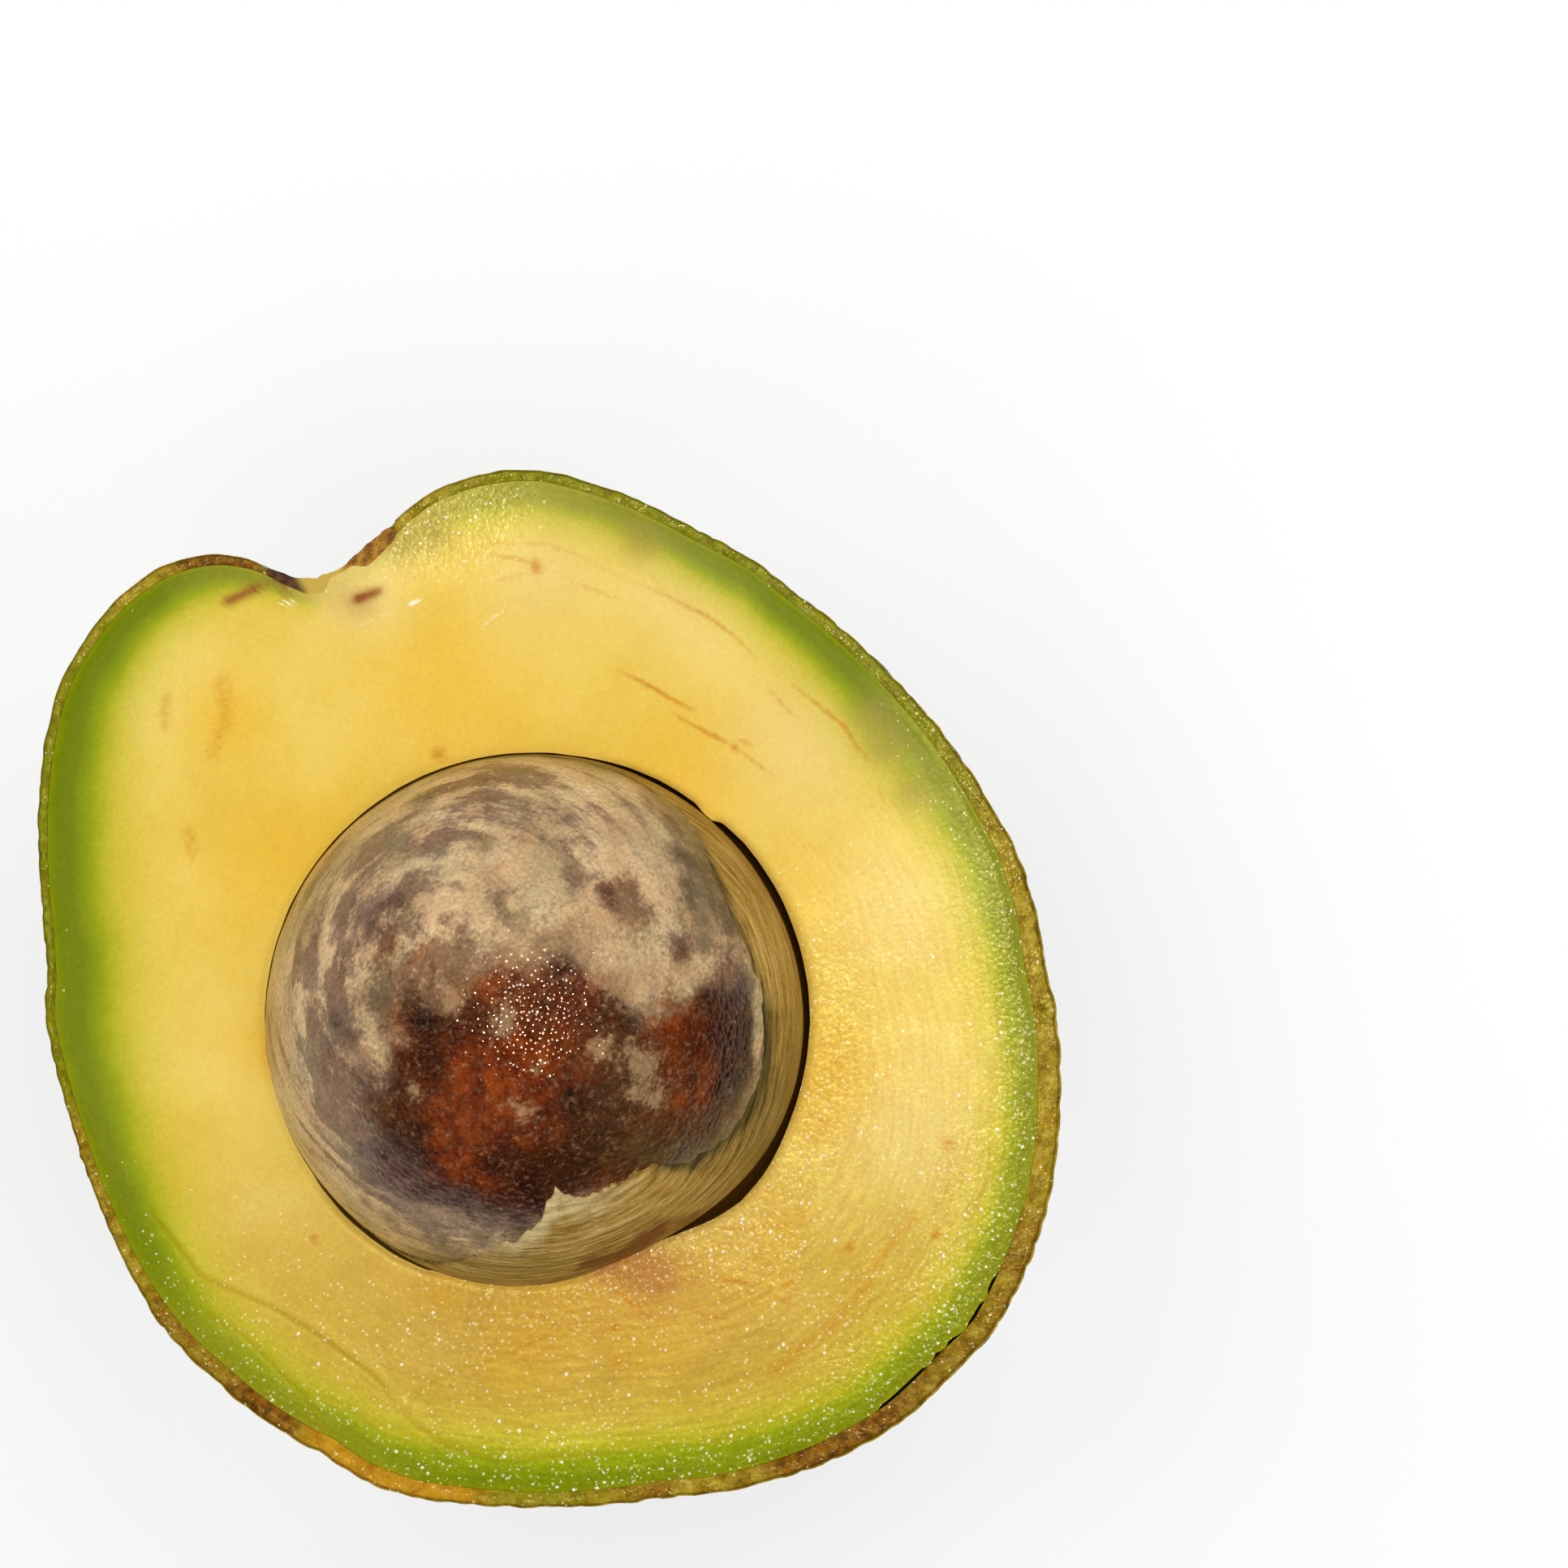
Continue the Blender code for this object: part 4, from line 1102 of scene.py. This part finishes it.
def make_skin():
    """One shell: inside, the edge that the knife left, and the pebbled outside."""
    inside = np.radians(np.linspace(88.0, 0.5, 16))[:, None]
    turn = TURN[None, :]
    inner = fruit_radius(turn, inside) - rind_thickness(turn, inside) - 0.4 * in_scar(turn, inside)
    rows_inside = unit(turn, inside) * inner[..., None]
    step = math.degrees(0.48 / MEAN_RADIUS)
    dips = np.radians(np.concatenate(((0.0, 0.2, 0.45, 0.8), np.arange(0.8 + step, 88.6, step))))[:, None]
    directions = unit(turn, dips)
    height, pebble, tone, tip = skin_relief(directions)
    height = height * (0.28 + 0.72 * smooth(0.02, 0.22, dips))
    away, _ = stem_polar(directions)
    radius = fruit_radius(turn, dips) + height
    radius -= in_scar(turn, dips) * (rind_thickness(turn, dips) + 0.1)
    outside = directions * radius[..., None]
    rim_in = fruit_radius(TURN, 0.0) - rind_thickness(TURN, 0.0) - 0.4 * in_scar(TURN, 0.0)
    rim_out = radius[0]
    shares = np.linspace(0.0, 1.0, 9)[:-1, None]
    across = rim_in * (1.0 - shares) + rim_out * shares
    edge = unit(turn, np.zeros_like(shares)) * across[..., None]
    rough = layered(edge, 1.1, 41.0)
    edge[..., 2] = (0.1 * rough - 0.05) * np.sin(math.pi * np.clip(shares * 1.15, 0.0, 1.0))
    edge[..., 2] -= 0.1 * smooth(0.6, 1.0, shares) + 0.7 * in_scar(TURN, 0.0)
    outside[:3, :, 2] -= 0.14 + 0.7 * in_scar(TURN, 0.0)
    rows = np.concatenate((rows_inside, edge, outside))
    rows[..., 2] = np.maximum(rows[..., 2] + CUT, 0.0)
    inside_count, edge_count = len(rows_inside), len(edge)

    def whole(on_outside, on_section=0.0):
        """Values of the outside and the section, with nothing on the inside."""
        parts = ((inside_count, 0.0), (edge_count, on_section), (len(outside), on_outside))
        return np.concatenate([np.broadcast_to(values, (count, AROUND)) for count, values in parts])

    layers = {
        "pebble": whole(np.clip(pebble, 0.0, 1.0)),
        "tone": whole(tone),
        "tip": whole(tip),
        "near_stem": whole(1.0 - smooth(5.0, 26.0, away)),
        "outer": whole(0.0, smooth(0.7, 0.98, shares)),
    }
    for name, places in SECTION_PATCHES.items():
        layers[name] = whole(0.0, patches(places))

    def finish_of_row(face_rows):
        return ((face_rows >= inside_count - 1) & (face_rows < inside_count + edge_count)).astype(int)

    piece = loft("skin_of_half", rows, layers, (finish_skin(), finish_skin_edge()), finish_of_row)
    place_piece(piece, "skin")


def make_scar():
    """Lumpy cork that lines the dimple, thin in the middle, where the stem's own core was."""
    count, rings = 120, 40
    around = np.linspace(0.0, math.pi, count)[None, :]
    reach = np.linspace(0.02, SCAR_RADIUS, rings)[:, None]
    side = np.cross(STEM, (0.0, 0.0, 1.0))
    lean = reach / MEAN_RADIUS
    directions = (
        np.cos(lean)[..., None] * STEM
        + (np.sin(lean) * np.cos(around))[..., None] * side
        - (np.sin(lean) * np.sin(around))[..., None] * np.array((0.0, 0.0, 1.0))
    )
    turn = np.arctan2(directions[..., 1], directions[..., 0])
    dip = np.arcsin(np.clip(-directions[..., 2], 0.0, 1.0))
    body = fruit_radius(turn, dip)
    lumps = layered(directions * MEAN_RADIUS, 1.3, 51.0)
    top = body + 0.22 * lumps * smooth(0.3, 1.5, reach) - 0.25 * smooth(SCAR_RADIUS - 0.8, SCAR_RADIUS, reach)
    bottom = body - rind_thickness(turn, dip) - 0.12
    points = np.stack((directions * top[..., None], directions * bottom[..., None]))
    points[..., 2] += CUT
    bm = bmesh.new()
    grid = [[[bm.verts.new(point) for point in ring] for ring in face] for face in (points * MM).tolist()]
    for face in grid:
        for low, high in zip(face, face[1:]):
            for a in range(count - 1):
                bm.faces.new((low[a], low[a + 1], high[a + 1], high[a]))
    border = [(0, a) for a in range(count)] + [(r, count - 1) for r in range(1, rings)]
    border += [(rings - 1, a) for a in range(count - 2, -1, -1)] + [(r, 0) for r in range(rings - 2, 0, -1)]
    for (r, a), (r2, a2) in zip(border, border[1:] + border[:1]):
        bm.faces.new((grid[0][r][a], grid[0][r2][a2], grid[1][r2][a2], grid[1][r][a]))
    mesh = bpy.data.meshes.new("cork_of_stem")
    bm.to_mesh(mesh)
    bm.free()
    middle = 1.9 - 1.6 * np.cos(around)
    pale = 1.0 - smooth(-0.5, 0.5, reach - middle)
    light = np.broadcast_to(0.5 + 0.5 * np.cos(around), (rings, count))
    add_layers(mesh, {"pale": np.tile(pale.ravel(), 2), "light": np.tile(light.ravel(), 2)})
    mesh.materials.append(finish_cork())
    place_piece(finish_mesh(mesh), "stem_scar")


def lifted(right, up):
    """The point of the seed, from its middle, that shows at a place in the picture of the cut face."""
    middle = np.array((*seen(*SEED_MIDDLE[:2]), 0.0))
    eye = np.array((*AIM, EYE_HEIGHT))
    ray = np.array((right, up, 0.0)) - eye
    ray /= np.linalg.norm(ray)
    back = (eye - middle) @ ray
    inside = back * back - (eye - middle) @ (eye - middle) + SEED_SIDE ** 2
    point = eye + ray * (-back - math.sqrt(max(0.0, inside))) - middle
    return np.array((*turned(point[0], point[1], -SEEN_TURN), point[2]))


def spots_on_seed(points, places, stretch=1.0):
    """Soft spots on the seed, drawn out by that much round the swirl."""
    axis = lifted(*SWIRL_AT)
    shares = []
    for x, y, size in places:
        middle = lifted(x, y)
        off = points - middle
        round_swirl = np.cross(axis, middle)
        along = off @ (round_swirl / np.linalg.norm(round_swirl))
        square = (off * off).sum(axis=-1) - along ** 2 * (1.0 - stretch ** -2)
        shares.append(np.exp(-0.5 * square / size ** 2))
    return union(shares)


def make_seed():
    """One nearly round solid from a finely divided cube."""
    bm = bmesh.new()
    bmesh.ops.create_cube(bm, size=2.0)
    bmesh.ops.subdivide_edges(bm, edges=bm.edges[:], cuts=95, use_grid_fill=True)
    mesh = bpy.data.meshes.new("seed_of_half")
    bm.to_mesh(mesh)
    bm.free()
    points = np.empty(len(mesh.vertices) * 3)
    mesh.vertices.foreach_get("co", points)
    warped = np.tan(points.reshape(-1, 3) * math.pi / 4.0)
    directions = warped / np.linalg.norm(warped, axis=1, keepdims=True)
    radius = seed_radius(directions)
    even = directions * SEED_SIDE
    radius = radius + 0.1 * grain_at(even, 9.0, 61.0) + 0.035 * grain_at(even, 2.2, 62.0)
    radius -= 0.12 * bell(np.linalg.norm(even - lifted(*SEED_PIT), axis=1), 0.5)
    limit = np.where(directions[:, 2] > 0.9, SEED_TOP + 0.1, math.inf)
    surface = directions * np.minimum(radius, limit)[:, None]
    mesh.vertices.foreach_set("co", ((surface + SEED_MIDDLE + np.array((0.0, 0.0, CUT))) * MM).ravel())
    turn = np.arctan2(directions[:, 1], directions[:, 0])
    over = surface[:, 2] - by_angle(turn, COAT_EDGE)
    by_coat = bell(over, 2.0) * by_angle(turn, SEED_BY_COAT)
    calm = bell(np.linalg.norm(surface - lifted(*CALM_AT), axis=1), 6.5)
    wander = np.stack([grain_at(surface, 2.6, seed) for seed in (81.0, 82.0, 83.0)], axis=-1)
    loose = surface + 1.1 * wander
    middle = lifted(*SWIRL_AT)
    middle /= np.linalg.norm(middle)
    side = np.cross(middle, (0.0, 0.0, 1.0))
    side /= np.linalg.norm(side)
    around = np.arctan2(directions @ np.cross(middle, side), directions @ side)
    away = angle_between(directions, middle) * SEED_SIDE
    add_layers(mesh, {
        **{name: spots_on_seed(loose, places, stretch) for name, (places, stretch) in SEED_SPOTS.items()},
        "streaky": 1.0 - calm,
        "dot": spots_on_seed(surface, SEED_DOTS),
        "olive": union((by_coat, 0.7 * spots_on_seed(surface, SEED_OLIVE))),
        "swirl": np.stack((1.4 * np.cos(around), 1.4 * np.sin(around), away / 2.2), axis=-1),
    })
    mesh.materials.append(finish_seed())
    place_piece(finish_mesh(mesh), "seed")


def make_coat():
    """A thin cup that clings to the seed, with a ragged torn edge."""
    around = 720
    turn = np.arange(around)[None, :] * math.tau / around
    edge = by_angle(turn, COAT_EDGE)
    ring = unit(turn, 0.0) * SEED_SIDE
    torn = smooth(6.0, 13.0, edge)
    edge = edge + torn * (0.45 * grain_at(ring, 1.7, 71.0) + 0.22 * grain_at(ring, 0.6, 72.0))
    top = np.arcsin(np.clip(edge / SEED_SIDE, -0.9, 0.9))
    shares = np.linspace(0.0, 1.0, 60)[:, None] ** 0.8
    bottom = math.radians(-88.0)
    rise = bottom + (top - bottom) * shares
    directions = unit(turn, -rise)
    taper = 1.0 - smooth(0.9, 1.0, shares) * by_angle(turn, COAT_TAPER)
    body = seed_radius(directions)
    creases = layered(directions * SEED_SIDE * np.array((1.0, 1.0, 3.0)), 4.0, 73.0)
    thick = by_angle(turn, COAT_THICKNESS) * taper + 0.04 * creases * smooth(0.5, 0.8, shares)
    outer = directions * (body + np.maximum(thick, 0.0) - 0.02)[..., None]
    inner = directions * (body - 0.3)[..., None]
    rows = np.concatenate((outer, inner[::-1])) + SEED_MIDDLE + np.array((0.0, 0.0, CUT))
    below = edge - outer[..., 2]
    angle = seen_angle(turn)
    rust = sum(
        amount * bell(angle - middle, 4.5) * bell(outer[..., 2] - height, 1.6)
        for middle, height, amount in COAT_RUST
    )
    flat = 2.2 * unit(turn, 0.0 * rise)

    def both(values):
        """Values of the outside, given to the inside too."""
        values = np.broadcast_to(values, (*outer.shape[:2], *values.shape[2:]))
        return np.concatenate((values, values[::-1]))

    layers = {
        "tan": both(by_angle(turn, COAT_TAN)),
        "dusk": both(bell(below, 0.7) * by_angle(turn, COAT_DUSKY_EDGE) + by_angle(turn, COAT_DUSK)),
        "fresh": both(bell(below, 1.15) * by_angle(turn, COAT_FRESH)),
        "rust": both(np.clip(rust, 0.0, 1.0)),
        "swirl": both(np.stack((flat[..., 0], flat[..., 1], outer[..., 2] / 0.7), axis=-1)),
    }
    piece = loft("torn_coat_of_seed", rows, layers, (finish_coat(),))
    place_piece(piece, "seed_coat")


# Stage

def make_floor():
    bm = bmesh.new()
    bmesh.ops.create_grid(bm, x_segments=1, y_segments=1, size=1.5)
    mesh = bpy.data.meshes.new("floor")
    bm.to_mesh(mesh)
    bm.free()
    paint = Finish("pale floor")
    paint.wire(paint.shader, {"Base Color": (0.99, 0.99, 0.99, 1.0), "Roughness": 0.9})
    mesh.materials.append(paint.made)
    floor = bpy.data.objects.new("floor", mesh)
    bpy.context.scene.collection.objects.link(floor)


def area_light(name, place, size, power):
    data = bpy.data.lights.new(name, "AREA")
    data.shape = "DISK"
    data.size = size
    data.energy = power
    light = bpy.data.objects.new(name, data)
    target = Vector((0.0, 0.0, CUT * MM))
    light.location = Vector(place)
    light.rotation_euler = (target - light.location).to_track_quat("-Z", "Y").to_euler()
    bpy.context.scene.collection.objects.link(light)


def light_scene():
    """A small lamp high over the cut face, four soft boxes round it and a little light from everywhere."""
    area_light("key", (0.115, 0.015, 1.15), 0.07, 7.9)
    for index, power in enumerate((2.4, 1.5, 1.5, 2.4)):
        turn = math.radians(100 + 90 * index)
        area_light(f"soft_box_{index}", (0.85 * math.cos(turn), 0.85 * math.sin(turn), 0.89), 1.1, power)
    world = bpy.data.worlds.new("studio")
    world.use_nodes = True
    world.node_tree.nodes["Background"].inputs["Color"].default_value = (1.0, 1.0, 1.0, 1.0)
    world.node_tree.nodes["Background"].inputs["Strength"].default_value = 0.12
    bpy.context.scene.world = world
    bpy.context.scene.view_settings.view_transform = "Standard"


def add_camera():
    """Looks straight down on the cut face, at the place that the middle of the picture shows."""
    data = bpy.data.cameras.new("camera")
    data.lens = LENS
    data.sensor_width = SENSOR
    camera = bpy.data.objects.new("camera", data)
    right = Vector((math.cos(SEEN_TURN), -math.sin(SEEN_TURN), 0.0))
    up = Vector((math.sin(SEEN_TURN), math.cos(SEEN_TURN), 0.0))
    back = Vector((0.0, 0.0, 1.0))
    place = (right * AIM[0] + up * AIM[1] + back * (CUT + EYE_HEIGHT)) * MM
    turned = Matrix((right, up, back)).transposed().to_4x4()
    camera.matrix_world = Matrix.Translation(place) @ turned
    bpy.context.scene.collection.objects.link(camera)
    bpy.context.scene.camera = camera


make_flesh()
make_skin()
make_scar()
make_seed()
make_coat()
make_floor()
light_scene()
add_camera()
